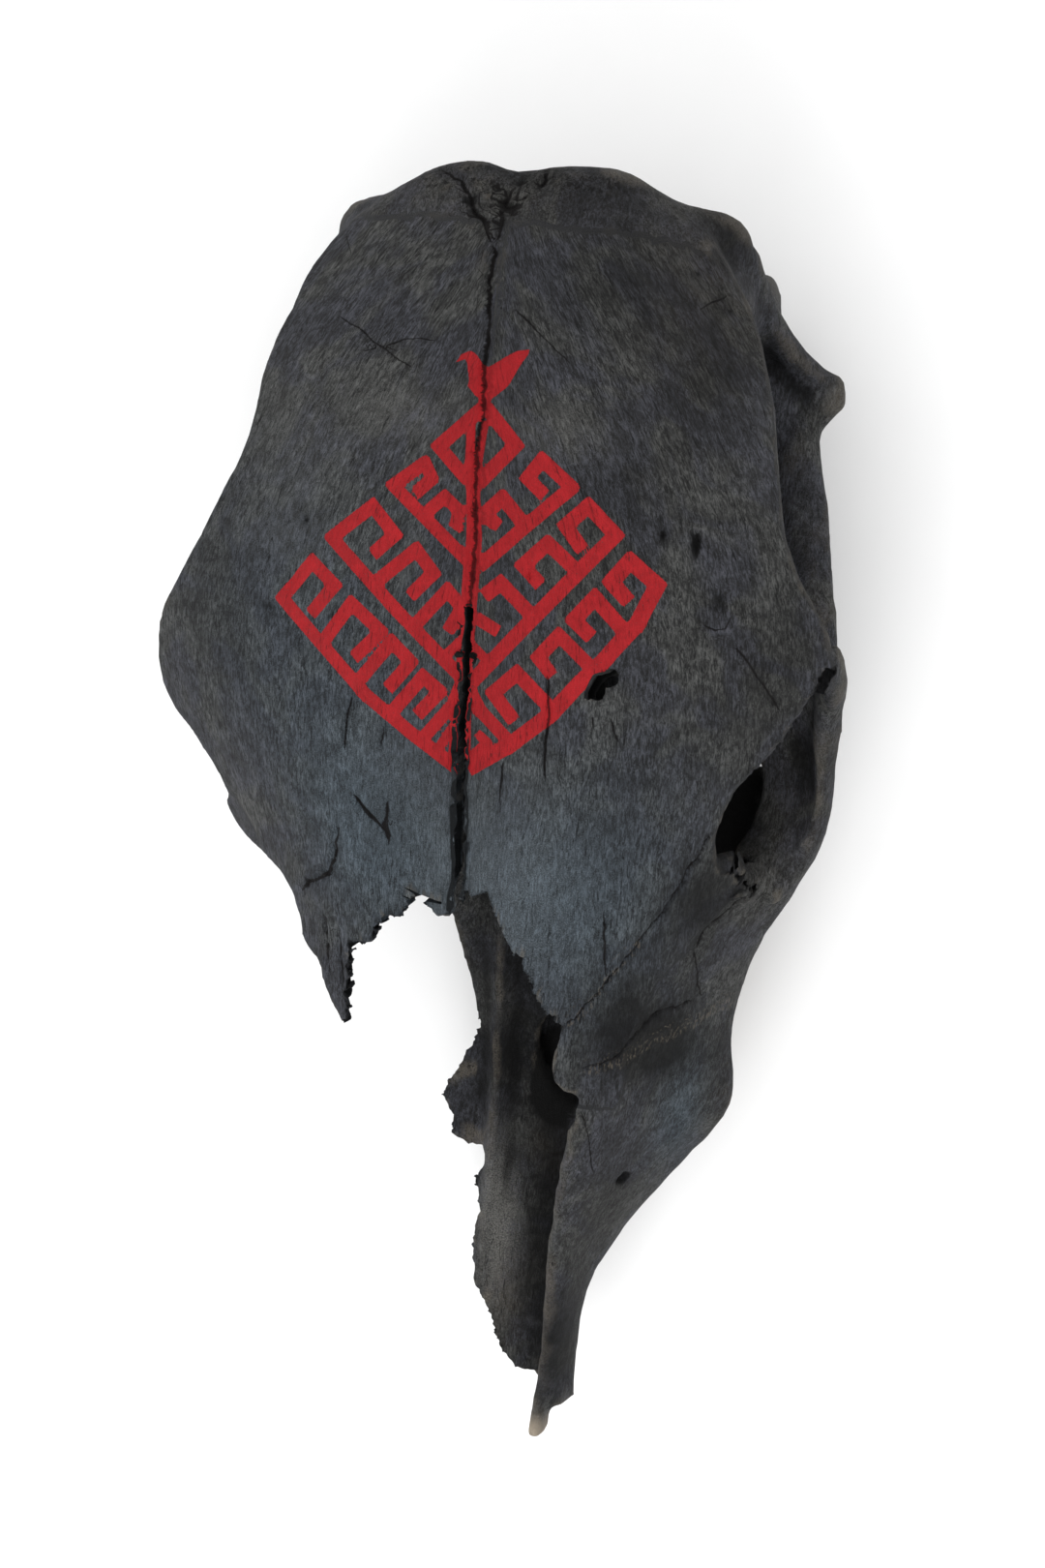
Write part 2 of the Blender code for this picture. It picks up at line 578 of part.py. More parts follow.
# Upper cheek teeth: name, middle y, length and width
MOLARS = [("molar_1", -78, 25, 20.5), ("molar_2", -50, 26, 22), ("molar_3", -21, 28, 21.5)]
PREMOLAR_SOCKETS = [("premolar_socket_4", -99, 13, 13), ("premolar_socket_3", -113.5, 11, 11),
                    ("premolar_socket_2", -127, 10, 9)]
MOLAR_TOP = 43
MOLAR_SHAPE = [(0, 0.97), (8, 1.0), (26, 1.0), (MOLAR_TOP, 0.9)]
WAIST = 0.09


def tooth_ring(y, length, width, z, grow=0.0):
    """Outline of a cheek tooth at one height: two lobes with a waist between them."""
    middle = bed_value(1, y)
    ring = []
    for across, along in rounded_box_ring(24, 0.7):
        waist = 1 - WAIST * math.cos(2 * math.pi * along)
        ring.append((middle + (width / 2 * waist + grow) * across, y + (length / 2 + grow) * along, z))
    return ring


def molar(name, y, length, width):
    tooth = loft(name, [tooth_ring(y, length * size, width * size, z) for z, size in MOLAR_SHAPE])
    tooth.data.materials.append(enamel_material())
    keep_largest(tooth)
    return tooth


def socket(name, y, length, width, top):
    return loft(name, [tooth_ring(y, length, width, z, grow=TOOTH_GAP) for z in (-5, top + TOOTH_GAP)])


def sockets_and_rest():
    """Cutters for the sockets, and for all that would reach below the surface it lies on."""
    table = prism("table", [(-150, -250), (150, -250), (150, 250), (-150, 250)], -60, 0)
    full = [socket(name + "_socket", y, length, width, MOLAR_TOP) for name, y, length, width in MOLARS]
    empty = [socket(name, y, length, width, MOLAR_TOP - 4) for name, y, length, width in PREMOLAR_SOCKETS]
    return [table] + full + empty


def bone_material():
    material = bpy.data.materials.new("weathered_bone")
    material.use_nodes = True
    shader = material.node_tree.nodes["Principled BSDF"]
    shader.inputs["Base Color"].default_value = (0.05, 0.055, 0.062, 1)
    shader.inputs["Roughness"].default_value = 0.75
    return material


def enamel_material():
    material = bpy.data.materials.new("old_enamel")
    material.use_nodes = True
    shader = material.node_tree.nodes["Principled BSDF"]
    shader.inputs["Base Color"].default_value = (0.32, 0.27, 0.2, 1)
    shader.inputs["Roughness"].default_value = 0.4
    return material


def fuse(obj):
    """Weld overlapping forms into one skin of even mesh and soften their joins."""
    weld = obj.modifiers.new("weld", "REMESH")
    weld.mode = "VOXEL"
    weld.voxel_size = VOXEL * MM
    soften = obj.modifiers.new("soften", "SMOOTH")
    soften.factor = 0.5
    soften.iterations = SOFTENING
    bake(obj)


def thin_out(obj, triangles):
    """Spend fewer triangles, with most of them where the surface bends."""
    thin = obj.modifiers.new("thin", "DECIMATE")
    thin.ratio = triangles / len(obj.data.polygons)
    bake(obj)


def skull():
    """Fuse the forms of the bone, cut the broken edges, thin the mesh and fit the sockets."""
    forms = (frontal_shield() + cranium() + occiput() + zygomatic_roots() + left_cheek() + orbit()
             + nasal_chamber() + left_face() + tooth_bed() + palate_and_nasal_floor() + pterygoid_plates())
    bone = joined("skull", forms)
    fuse(bone)
    keep_largest(bone)
    combine(bone, broken_edges() + hollows())
    keep_largest(bone)
    thin_out(bone, SKULL_TRIANGLES)
    keep_largest(bone)
    combine(bone, sockets_and_rest())
    keep_largest(bone)
    bone.data.materials.clear()
    bone.data.materials.append(bone_material())
    return bone


def clear_scene():
    for obj in list(bpy.data.objects):
        bpy.data.objects.remove(obj)


def centre_in_plan(objects):
    """Move the objects together so that the origin is under the middle of their box."""
    points = [vertex.co for obj in objects for vertex in obj.data.vertices]
    middle = [round((min(p[i] for p in points) + max(p[i] for p in points)) / 2, 4) for i in (0, 1)]
    for obj in objects:
        for vertex in obj.data.vertices:
            vertex.co -= Vector((middle[0], middle[1], 0))
    print("moved by minus", middle)


clear_scene()
centre_in_plan([skull()] + [molar(*row) for row in MOLARS])
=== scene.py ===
# %% [markdown]
# # A painted cow skull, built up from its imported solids
#
# The object is the dry skull of a cow without its nose bones, right cheek and upper right jaw. It is
# nearly black, and a red ornament of hooks is painted on its forehead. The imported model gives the
# exact place and size of the bone and of the three loose molars. It has large flat facets, so this
# lesson makes a fine skin from it, roughens it the way old bone is rough, and gives it materials.

import bmesh
import bpy
import numpy as np
from mathutils import Matrix, Vector, noise


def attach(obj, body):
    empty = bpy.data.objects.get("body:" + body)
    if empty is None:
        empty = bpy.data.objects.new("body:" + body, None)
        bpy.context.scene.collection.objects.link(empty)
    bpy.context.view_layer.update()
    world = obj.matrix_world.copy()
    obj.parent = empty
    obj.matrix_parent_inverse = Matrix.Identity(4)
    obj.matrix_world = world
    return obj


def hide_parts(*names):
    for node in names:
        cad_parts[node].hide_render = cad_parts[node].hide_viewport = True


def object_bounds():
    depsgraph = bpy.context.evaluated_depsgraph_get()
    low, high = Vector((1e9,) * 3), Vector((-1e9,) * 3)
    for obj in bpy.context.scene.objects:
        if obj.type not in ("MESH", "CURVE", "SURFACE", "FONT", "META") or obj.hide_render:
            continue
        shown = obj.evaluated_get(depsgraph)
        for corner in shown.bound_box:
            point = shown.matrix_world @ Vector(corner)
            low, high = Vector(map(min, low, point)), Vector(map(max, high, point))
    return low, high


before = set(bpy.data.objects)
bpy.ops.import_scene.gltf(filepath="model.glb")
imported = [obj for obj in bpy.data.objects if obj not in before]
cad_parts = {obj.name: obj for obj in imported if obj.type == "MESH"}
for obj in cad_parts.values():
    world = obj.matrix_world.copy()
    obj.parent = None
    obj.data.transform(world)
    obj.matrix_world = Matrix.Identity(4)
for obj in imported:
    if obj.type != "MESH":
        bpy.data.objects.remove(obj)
CAD_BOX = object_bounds()
MM = 0.001
SEAM_X, SEAM_Y = 3.1, 11.7  # where the forehead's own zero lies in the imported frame, in mm
print("packed box in mm:", [[round(v / MM, 1) for v in corner] for corner in CAD_BOX])

# %% [markdown]
# ## Camera
#
# The skull was photographed from straight above, with its left side rolled a little towards the lens.
# A camera can be aimed with constraints, but the exact turn is known here, so its three axes are
# written down as the columns of a matrix. That keeps the view the same each time the script runs.

# %% Put the camera over the forehead


def placed(name, data):
    """Show a mesh, curve, lamp or camera in the scene as a new object."""
    obj = bpy.data.objects.new(name, data)
    bpy.context.scene.collection.objects.link(obj)
    return obj


RIGHT_OF_VIEW = Vector((0.971666, 0.114937, -0.206534))
TOP_OF_VIEW = Vector((-0.112425, 0.993373, 0.023897))
TOWARDS_CAMERA = Vector((0.207912, 0.0, 0.978148))
camera_turn = Matrix((RIGHT_OF_VIEW, TOP_OF_VIEW, TOWARDS_CAMERA)).transposed().to_4x4()
CAMERA_PLACE = (0.282085, 0.0117, 1.381592)
camera = placed("camera", bpy.data.cameras.new("camera"))
camera.matrix_world = Matrix.Translation(CAMERA_PLACE) @ camera_turn
camera.data.sensor_width = 36
camera.data.lens = 95.87
bpy.context.scene.camera = camera
print("camera stands", round(camera.location.length, 3), "m from the origin")

# %% [markdown]
# ## Node helpers
#
# Every material and every Geometry Nodes tree below is written as a chain of small calls. One helper
# adds a node, fills its sockets and links what is handed to it, so that a tree reads from top to bottom.

# %% A helper that adds one node


def add(tree, kind, values=(), **settings):
    """Add a node, set its options, and fill or link its inputs by name or number."""
    made = tree.nodes.new(kind)
    for name, value in settings.items():
        setattr(made, name, value)
    for name, value in dict(values).items():
        if isinstance(value, bpy.types.NodeSocket):
            tree.links.new(value, made.inputs[name])
        else:
            made.inputs[name].default_value = value
    return made


def maths(tree, operation, first, second=0.0):
    """Return the result of one Math node."""
    return add(tree, "ShaderNodeMath", {0: first, 1: second}, operation=operation).outputs[0]


def plus(tree, first, second):
    """Return the sum of two values."""
    return maths(tree, "ADD", first, second)


def minus(tree, first, second):
    """Return the difference of two values."""
    return maths(tree, "SUBTRACT", first, second)


def times(tree, first, second):
    """Return the product of two values."""
    return maths(tree, "MULTIPLY", first, second)


def mixed(tree, amount, first, second, blend="MIX"):
    """Return the result of mixing two colours."""
    values = {"Factor": amount, 6: first, 7: second}
    return add(tree, "ShaderNodeMix", values, data_type="RGBA", blend_type=blend, clamp_factor=True).outputs[2]


def ramp(tree, value, low, high, start=0.0, end=1.0, smooth=True):
    """Return the value stretched from low..high to start..end and held there."""
    values = {"Value": value, "From Min": low, "From Max": high, "To Min": start, "To Max": end}
    kind = "SMOOTHSTEP" if smooth else "LINEAR"
    return add(tree, "ShaderNodeMapRange", values, interpolation_type=kind, clamp=True).outputs[0]


def noise_at(tree, place, scale, detail=2.0, rough=0.5, twist=0.0):
    """Return the value of a noise texture at a place."""
    values = {"Vector": place, "Scale": scale, "Detail": detail, "Roughness": rough, "Distortion": twist}
    return add(tree, "ShaderNodeTexNoise", values).outputs[0]


def attribute(tree, name, socket="Fac"):
    """Return a value that the mesh carries at its points."""
    return add(tree, "ShaderNodeAttribute", attribute_name=name).outputs[socket]


def new_material(name):
    """Make a material with an empty tree, a Principled shader and an output."""
    material = bpy.data.materials.get(name) or bpy.data.materials.new(name)
    material.use_nodes = True
    tree = material.node_tree
    tree.nodes.clear()
    shader = add(tree, "ShaderNodeBsdfPrincipled")
    add(tree, "ShaderNodeOutputMaterial", {"Surface": shader.outputs[0]})
    return material, tree, shader


# %% [markdown]
# ## Floor and light
#
# The skull lies on a plain white sheet. The light is broad and soft from all round, with a larger share
# from the nose end, because the slope of the forehead above the eyes is the brightest bone in the photo.

# %% Lay the floor and hang the lights
FLOOR_HALF = 4.0
floor_mesh = bpy.data.meshes.new("floor")
floor_corners = [(-FLOOR_HALF, -FLOOR_HALF, 0), (FLOOR_HALF, -FLOOR_HALF, 0),
                 (FLOOR_HALF, FLOOR_HALF, 0), (-FLOOR_HALF, FLOOR_HALF, 0)]
floor_mesh.from_pydata(floor_corners, [], [(0, 1, 2, 3)])
floor = placed("floor", floor_mesh)
paper, paper_tree, paper_shader = new_material("white_paper")
paper_grain = noise_at(paper_tree, add(paper_tree, "ShaderNodeTexCoord").outputs["Object"], 60.0)
paper_colour = mixed(paper_tree, paper_grain, (0.95, 0.95, 0.95, 1), (0.97, 0.97, 0.97, 1))
paper_tree.links.new(paper_colour, paper_shader.inputs["Base Color"])
paper_shader.inputs["Roughness"].default_value = 0.9
paper_shader.inputs["Specular IOR Level"].default_value = 0.1
floor_mesh.materials.append(paper)


def soft_light(name, place, aim, size, watts):
    """Hang a square lamp at a place, turned to a point."""
    lamp = placed(name, bpy.data.lights.new(name, "AREA"))
    lamp.data.energy = watts
    lamp.data.size = size
    lamp.location = place
    lamp.rotation_euler = (Vector(aim) - Vector(place)).to_track_quat("-Z", "Y").to_euler()
    return lamp


soft_light("lamp_over_nose", (0.10, -1.25, 1.25), (0.0, -0.02, 0.12), 0.9, 13)
soft_light("lamp_overhead", (0.10, 0.10, 1.8), (0.0, 0.0, 0.1), 1.6, 7)
world = bpy.data.worlds.new("studio")
bpy.context.scene.world = world
world.use_nodes = True
world.node_tree.nodes["Background"].inputs["Color"].default_value = (1, 1, 1, 1)
world.node_tree.nodes["Background"].inputs["Strength"].default_value = 1.0
bpy.context.scene.view_settings.view_transform = "Standard"
print("lamps:", [lamp.name for lamp in bpy.data.lights])

# %% [markdown]
# ## Number tools for a fine skin
#
# A mesh of a hundred thousand points is quick to shape when its points sit in one array. These helpers
# read a mesh into arrays, find each point's normal and the mean of its neighbours, and smooth without
# the shrinking that plain smoothing gives: each step inwards is followed by a slightly larger one outwards.

# %% Read, measure and smooth arrays of points


def arrays_of(mesh):
    """Return the points in millimetres and the triangles of a mesh."""
    mesh.calc_loop_triangles()
    points = np.empty(len(mesh.vertices) * 3)
    mesh.vertices.foreach_get("co", points)
    corners = np.empty(len(mesh.loop_triangles) * 3, np.int32)
    mesh.loop_triangles.foreach_get("vertices", corners)
    return points.reshape(-1, 3) / MM, corners.reshape(-1, 3).astype(np.int64)


def mesh_from(name, points, triangles):
    """Return a smooth-shaded mesh made of arrays."""
    mesh = bpy.data.meshes.new(name)
    mesh.from_pydata((points * MM).tolist(), [], triangles.tolist())
    mesh.polygons.foreach_set("use_smooth", np.ones(len(triangles), bool))
    mesh.update()
    return mesh


def edges_of(triangles, count):
    """Return each edge once, and for each triangle side the number of its edge."""
    sides = np.sort(triangles[:, [[0, 1], [1, 2], [2, 0]]], axis=2)
    code, where = np.unique(sides[..., 0] * count + sides[..., 1], return_inverse=True)
    return np.stack([code // count, code % count], axis=1), where.reshape(-1, 3)


def neighbour_mean(values, edges):
    """Return the mean of each point's neighbours."""
    count = len(values)
    total = np.zeros(values.shape)
    for column in range(values.shape[1]):
        total[:, column] = (np.bincount(edges[:, 0], values[edges[:, 1], column], count)
                            + np.bincount(edges[:, 1], values[edges[:, 0], column], count))
    share = np.bincount(edges[:, 0], minlength=count) + np.bincount(edges[:, 1], minlength=count)
    return total / np.maximum(share, 1)[:, None]


def normals_of(points, triangles):
    """Return a unit normal at each point."""
    a, b, c = (points[triangles[:, i]] for i in range(3))
    across = np.cross(b - a, c - a)
    total = np.zeros(points.shape)
    for corner in range(3):
        for column in range(3):
            total[:, column] += np.bincount(triangles[:, corner], across[:, column], len(points))
    return total / np.maximum(np.linalg.norm(total, axis=1), 1e-9)[:, None]


def smoothed(points, edges, rounds, inwards=0.5, outwards=-0.53):
    """Even out small bumps without shrinking the form."""
    for _ in range(rounds):
        points = points + inwards * (neighbour_mean(points, edges) - points)
        points = points + outwards * (neighbour_mean(points, edges) - points)
    return points


def refined(points, triangles, longest, rounds=4):
    """Split each edge that is longer than longest() allows at its middle."""
    for _ in range(rounds):
        edges, where = edges_of(triangles, len(points))
        middle = (points[edges[:, 0]] + points[edges[:, 1]]) / 2
        long = np.linalg.norm(points[edges[:, 0]] - points[edges[:, 1]], axis=1) > longest(middle)
        if not long.any():
            break
        number = np.full(len(edges), -1)
        number[long] = len(points) + np.arange(long.sum())
        points = np.concatenate([points, middle[long]])
        cut = number[where]
        split = cut >= 0
        how_many = split.sum(axis=1)
        # Turn each triangle so that its first side is cut, and its last is not when two are
        turn = np.where(how_many == 2, (np.argmin(split, axis=1) + 1) % 3, np.argmax(split, axis=1))
        order = (turn[:, None] + np.arange(3)) % 3
        t = np.take_along_axis(triangles, order, axis=1)
        m = np.take_along_axis(cut, order, axis=1)
        one, two, three = (how_many == n for n in (1, 2, 3))
        pieces = [t[how_many == 0]]
        pieces += [np.stack([t[one, 0], m[one, 0], t[one, 2]], 1), np.stack([m[one, 0], t[one, 1], t[one, 2]], 1)]
        pieces += [np.stack([m[two, 0], t[two, 1], m[two, 1]], 1), np.stack([t[two, 0], m[two, 0], m[two, 1]], 1),
                   np.stack([t[two, 0], m[two, 1], t[two, 2]], 1)]
        pieces += [np.stack([t[three, 0], m[three, 0], m[three, 2]], 1),
                   np.stack([m[three, 0], t[three, 1], m[three, 1]], 1),
                   np.stack([m[three, 2], m[three, 1], t[three, 2]], 1), m[three]]
        triangles = np.concatenate(pieces)
    return points, triangles


# %% [markdown]
# ## The forehead's own surface
#
# The forehead is the large smooth shield between the poll and the nose. Its height along the middle
# seam, its half width and its drop towards the sides are given as tables, and a smooth curve reads them.
# The fine skin is set exactly on this surface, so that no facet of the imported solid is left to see.

# %% The forehead as a rule
FOREHEAD_HEIGHT = [(-110, 116), (-80, 126), (-50, 135), (-20, 144), (20, 156), (60, 167), (100, 177), (140, 183),
        (165, 181), (182, 171), (190, 164)]
FOREHEAD_HALF_WIDTH = [(-90, 80), (-60, 82), (-30, 90), (0, 100), (20, 106), (46, 106), (90, 91), (121, 83),
                       (140, 74), (165, 58), (190, 40)]
FOREHEAD_DROP = [(-90, 70), (-60, 70), (-30, 66), (0, 50), (20, 42), (46, 33), (90, 29), (121, 27), (165, 25),
        (190, 22)]
FOREHEAD_POWER = 2.6
WIDEST_SHARE = 1.18


def curve_through(table, at):
    """Read a smooth curve through a table's rows at many positions."""
    place, value = (np.array(column, float) for column in zip(*table))
    slope = np.gradient(value, place)
    slope[1:-1] = (value[2:] - value[:-2]) / (place[2:] - place[:-2])
    at = np.clip(at, place[0], place[-1])
    i = np.clip(np.searchsorted(place, at, side="right") - 1, 0, len(place) - 2)
    span = place[i + 1] - place[i]
    t = (at - place[i]) / span
    return ((2 * t ** 3 - 3 * t ** 2 + 1) * value[i] + (t ** 3 - 2 * t ** 2 + t) * span * slope[i]
            + (3 * t ** 2 - 2 * t ** 3) * value[i + 1] + (t ** 3 - t ** 2) * span * slope[i + 1])


def forehead_height(x, y):
    """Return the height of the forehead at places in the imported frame, in millimetres."""
    along = y - SEAM_Y
    share = np.minimum(np.abs(x - SEAM_X) / curve_through(FOREHEAD_HALF_WIDTH, along), WIDEST_SHARE)
    return curve_through(FOREHEAD_HEIGHT, along) - curve_through(FOREHEAD_DROP, along) * share ** FOREHEAD_POWER


print("forehead at its highest:", round(float(forehead_height(SEAM_X, 150.0)), 1), "mm")

# %% [markdown]
# ## Fine skin of the bone
#
# A voxel remesh turns the loose facets into one even skin, and smoothing rounds the facets off. An even
# skin spends as many faces inside the brain cavity as on the face, so it is thinned next and then split
# again only where the eye looks closely: on the forehead and the face, and along the seams and cracks.

# %% Helpers that apply a modifier and weld a solid


def with_modifier(obj, kind, **settings):
    """Apply one modifier to an object's mesh."""
    modifier = obj.modifiers.new(kind.lower(), kind)
    for name, value in settings.items():
        setattr(modifier, name, value)
    bpy.context.view_layer.update()
    evaluated = obj.evaluated_get(bpy.context.evaluated_depsgraph_get())
    obj.data = bpy.data.meshes.new_from_object(evaluated)
    obj.modifiers.clear()


def welded_copy(mesh, name):
    """Copy a mesh and merge the doubled corners of its loose triangles."""
    skin = bmesh.new()
    skin.from_mesh(mesh)
    bmesh.ops.remove_doubles(skin, verts=skin.verts, dist=1e-6)
    copy = bpy.data.meshes.new(name)
    skin.to_mesh(copy)
    skin.free()
    return placed(name, copy)


# %% [markdown]
# Behind the forehead's rim the wall of the eye socket slopes down and inwards, and from above it is seen
# as a broad dark band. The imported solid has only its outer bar, so a thin bent plate is added to the bone
# before the remesh, which melts both into one skin.

# %% Add the wall of the eye socket
SOCKET_WALL = [  # outer and inner edge, from the brow to the front, in millimetres
    ((104.1, 47.2, 96.0), (84.4, 38.9, 88.0)), ((103.6, 36.2, 92.0), (80.2, 28.9, 83.0)),
    ((103.3, 26.2, 90.0), (82.3, 23.4, 83.0)), ((102.0, 16.4, 89.0), (82.0, 16.6, 82.0)),
    ((99.5, 7.0, 89.0), (80.6, 7.9, 83.0)), ((95.1, -1.4, 90.0), (78.0, 2.3, 85.0)),
    ((89.0, -8.2, 90.0), (75.6, -2.3, 88.0))]
WALL_THICKNESS = 4.0


def bent_plate(name, rows, thickness):
    """Return a closed plate between two edges, with its thickness downwards."""
    top = [place for row in rows for place in row]
    places = top + [(x, y, z - thickness) for x, y, z in top]
    under = len(top)
    faces = []
    for i in range(0, under - 2, 2):
        a, b, c, d = i, i + 1, i + 3, i + 2
        faces += [(a, b, c, d), (under + d, under + c, under + b, under + a)]
        faces += [(a, d, under + d, under + a), (c, b, under + b, under + c)]
    last = under - 2
    faces += [(1, 0, under, under + 1), (last, last + 1, under + last + 1, under + last)]
    mesh = bpy.data.meshes.new(name)
    mesh.from_pydata([Vector(place) * MM for place in places], [], faces)
    return placed(name, mesh)


def joined(name, objects):
    """Merge objects into one closed mesh with outward faces, and remove the parts."""
    together = bmesh.new()
    for obj in objects:
        together.from_mesh(obj.data)
        bpy.data.objects.remove(obj)
    bmesh.ops.recalc_face_normals(together, faces=together.faces)
    mesh = bpy.data.meshes.new(name)
    together.to_mesh(mesh)
    together.free()
    return placed(name, mesh)


solid_bone = welded_copy(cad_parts["skull"].data, "solid_bone")
bone = joined("bone", [solid_bone, bent_plate("socket_wall", SOCKET_WALL, WALL_THICKNESS)])
print("bone and socket wall:", len(bone.data.polygons), "faces")

# %% [markdown]
# The voxel size is a compromise: finer voxels keep the thin rims of the bone sharper, but each halving
# makes four times as many faces. At this size the facets of the solid melt away and the rims still hold.

# %% Remesh and smooth
SKIN_VOXEL = 1.4 * MM
SMOOTHING_ROUNDS = 9
with_modifier(bone, "REMESH", mode="VOXEL", voxel_size=SKIN_VOXEL, use_smooth_shade=True)
skin_points, skin_triangles = arrays_of(bone.data)
skin_edges, _ = edges_of(skin_triangles, len(skin_points))
skin_points = smoothed(skin_points, skin_edges, SMOOTHING_ROUNDS)
print("even skin:", len(skin_triangles), "triangles")

# %% [markdown]
# Smoothing leaves a trace of the facets, so each point that lies on the outer side of the forehead is now
# moved straight onto its rule. How much it moves depends on its height and on which way it faces.

# %% Set the forehead on its rule, then thin the skin
THINNED_TRIANGLES = 60000


def on_forehead(points, normals, reach=2.2):
    """Return how much each point belongs to the forehead's outer surface, from 0 to 1."""
    gap = np.abs(points[:, 2] - forehead_height(points[:, 0], points[:, 1]))
    inside = np.clip((reach - gap) / (0.5 * reach), 0, 1)
    upward = np.clip((normals[:, 2] - 0.25) / 0.3, 0, 1)
    in_reach = (points[:, 1] > -86) & (points[:, 1] < 176) & (points[:, 2] > 100)
    return inside * upward * in_reach


def settled(points, share):
    """Move points straight up or down onto the forehead by a share."""
    moved = points.copy()
    moved[:, 2] += share * (forehead_height(points[:, 0], points[:, 1]) - points[:, 2])
    return moved


CAD_PITS = [(67.1, 88.7, 6.5), (57.1, 89.7, 5.5), (72.0, 78.0, 7.0), (73.5, 72.0, 5.5)]
skin_normals = normals_of(skin_points, skin_triangles)
share = on_forehead(skin_points, skin_normals)
# The solid's round pits are closed here; the brow gets its own, better shaped ones below
for x, y, radius in CAD_PITS:
    under = forehead_height(skin_points[:, 0], skin_points[:, 1]) - skin_points[:, 2]
    close = (np.hypot(skin_points[:, 0] - x, skin_points[:, 1] - y) < radius) & (under > -2) & (under < 8)
    share = np.where(close & (skin_normals[:, 2] > -0.2), 1.0, share)
skin_points = settled(skin_points, share)
bone.data = mesh_from("bone", skin_points, skin_triangles)
with_modifier(bone, "DECIMATE", ratio=THINNED_TRIANGLES / len(skin_triangles))
skin_points, skin_triangles = arrays_of(bone.data)
print("thinned skin:", len(skin_triangles), "triangles;", int((share > 0.5).sum()), "points lie on the forehead")

# %% [markdown]
# The poll, the crest at the back of the forehead, rolls over in one even curve. The solid's rings leave a
# crease and two corners there, so the points behind the forehead are evened out more than the rest.

# %% Round the poll
POLL_START, POLL_FULL, POLL_FLOOR = 163.0, 176.0, 118.0
POLL_ROUNDS = 8
POLL_LIFT = 1.9


def poll_share(points):
    """Return how much each point belongs to the poll, from 0 to 1."""
    behind = np.clip((points[:, 1] - POLL_START) / (POLL_FULL - POLL_START), 0, 1)
    return behind * np.clip((points[:, 2] - POLL_FLOOR) / 12, 0, 1)


skin_edges, _ = edges_of(skin_triangles, len(skin_points))
for _ in range(POLL_ROUNDS):
    pull = neighbour_mean(skin_points, skin_edges) - skin_points
    skin_points = skin_points + 0.6 * poll_share(skin_points)[:, None] * pull
skin_normals = normals_of(skin_points, skin_triangles)
skin_points = skin_points + POLL_LIFT * poll_share(skin_points)[:, None] * skin_normals
bone.data = mesh_from("bone", skin_points, skin_triangles)
print("points on the poll:", int((poll_share(skin_points) > 0.5).sum()))

# %% [markdown]
# ## Broken edges by Geometry Nodes
#
# Dry bone breaks in small steps, and the two halves of the forehead have sprung apart along their seam.
# A rounded rim looks like wet clay, so the breaks are cut again: a jagged blade is made along each broken
# edge and taken out of the skin. One node tree makes every blade. It sets points along a path at an even
# pitch, pushes each one sideways by a random amount, and draws an upright rectangle along the result.

# %% The tree that turns a path into a jagged blade


def path_object(name, places):
    """Return a curve object through places given in millimetres."""
    curve = bpy.data.curves.new(name, "CURVE")
    curve.dimensions = "3D"
    curve.twist_mode = "Z_UP"
    line = curve.splines.new("POLY")
    line.points.add(len(places) - 1)
    for point, place in zip(line.points, places):
        point.co = (*(Vector(place) * MM), 1)
    return placed(name, curve)


def blade_tree(material):
    """Build the tree: pitch, width, depth, wander, shift, taper and seed go in, a closed blade comes out."""
    tree = bpy.data.node_groups.new("jagged_blade", "GeometryNodeTree")
    face = tree.interface
    face.new_socket("Geometry", in_out="INPUT", socket_type="NodeSocketGeometry")
    for label, value in (("Pitch", 0.0012), ("Width", 0.003), ("Depth", 0.012), ("Wander", 0.0006),
                         ("Shift", 0.001), ("Taper", 1.0)):
        face.new_socket(label, in_out="INPUT", socket_type="NodeSocketFloat").default_value = value
    face.new_socket("Seed", in_out="INPUT", socket_type="NodeSocketInt").default_value = 3
    face.new_socket("Geometry", in_out="OUTPUT", socket_type="NodeSocketGeometry")
    given = add(tree, "NodeGroupInput").outputs
    dots = add(tree, "GeometryNodeResampleCurve", {"Curve": given["Geometry"], "Length": given["Pitch"]},
               mode="LENGTH").outputs[0]
    random = add(tree, "FunctionNodeRandomValue", {2: -1.0, 3: 1.0, "Seed": given["Seed"]},
                 data_type="FLOAT").outputs[1]
    push = plus(tree, given["Shift"], times(tree, random, given["Wander"]))
    sideways = add(tree, "GeometryNodeInputNormal").outputs[0]
    offset = add(tree, "ShaderNodeVectorMath", {0: sideways, "Scale": push}, operation="SCALE").outputs[0]
    bent = add(tree, "GeometryNodeSetPosition", {"Geometry": dots, "Offset": offset}).outputs[0]
    along = add(tree, "GeometryNodeSplineParameter").outputs["Factor"]
    size = add(tree, "ShaderNodeMapRange", {"Value": along, "To Min": given["Taper"], "To Max": 1.0}).outputs[0]
    sized = add(tree, "GeometryNodeSetCurveRadius", {"Curve": bent, "Radius": size}).outputs[0]
    section = add(tree, "GeometryNodeCurvePrimitiveQuadrilateral", {"Width": given["Width"],
                                                                    "Height": given["Depth"]}).outputs[0]
    blade = add(tree, "GeometryNodeCurveToMesh", {"Curve": sized, "Profile Curve": section,
                                                  "Fill Caps": True}).outputs[0]
    real = add(tree, "GeometryNodeRealizeInstances", {"Geometry": blade}).outputs[0]
    finished = add(tree, "GeometryNodeSetMaterial", {"Geometry": real, "Material": material}).outputs[0]
    add(tree, "NodeGroupOutput", {"Geometry": finished})
    return tree


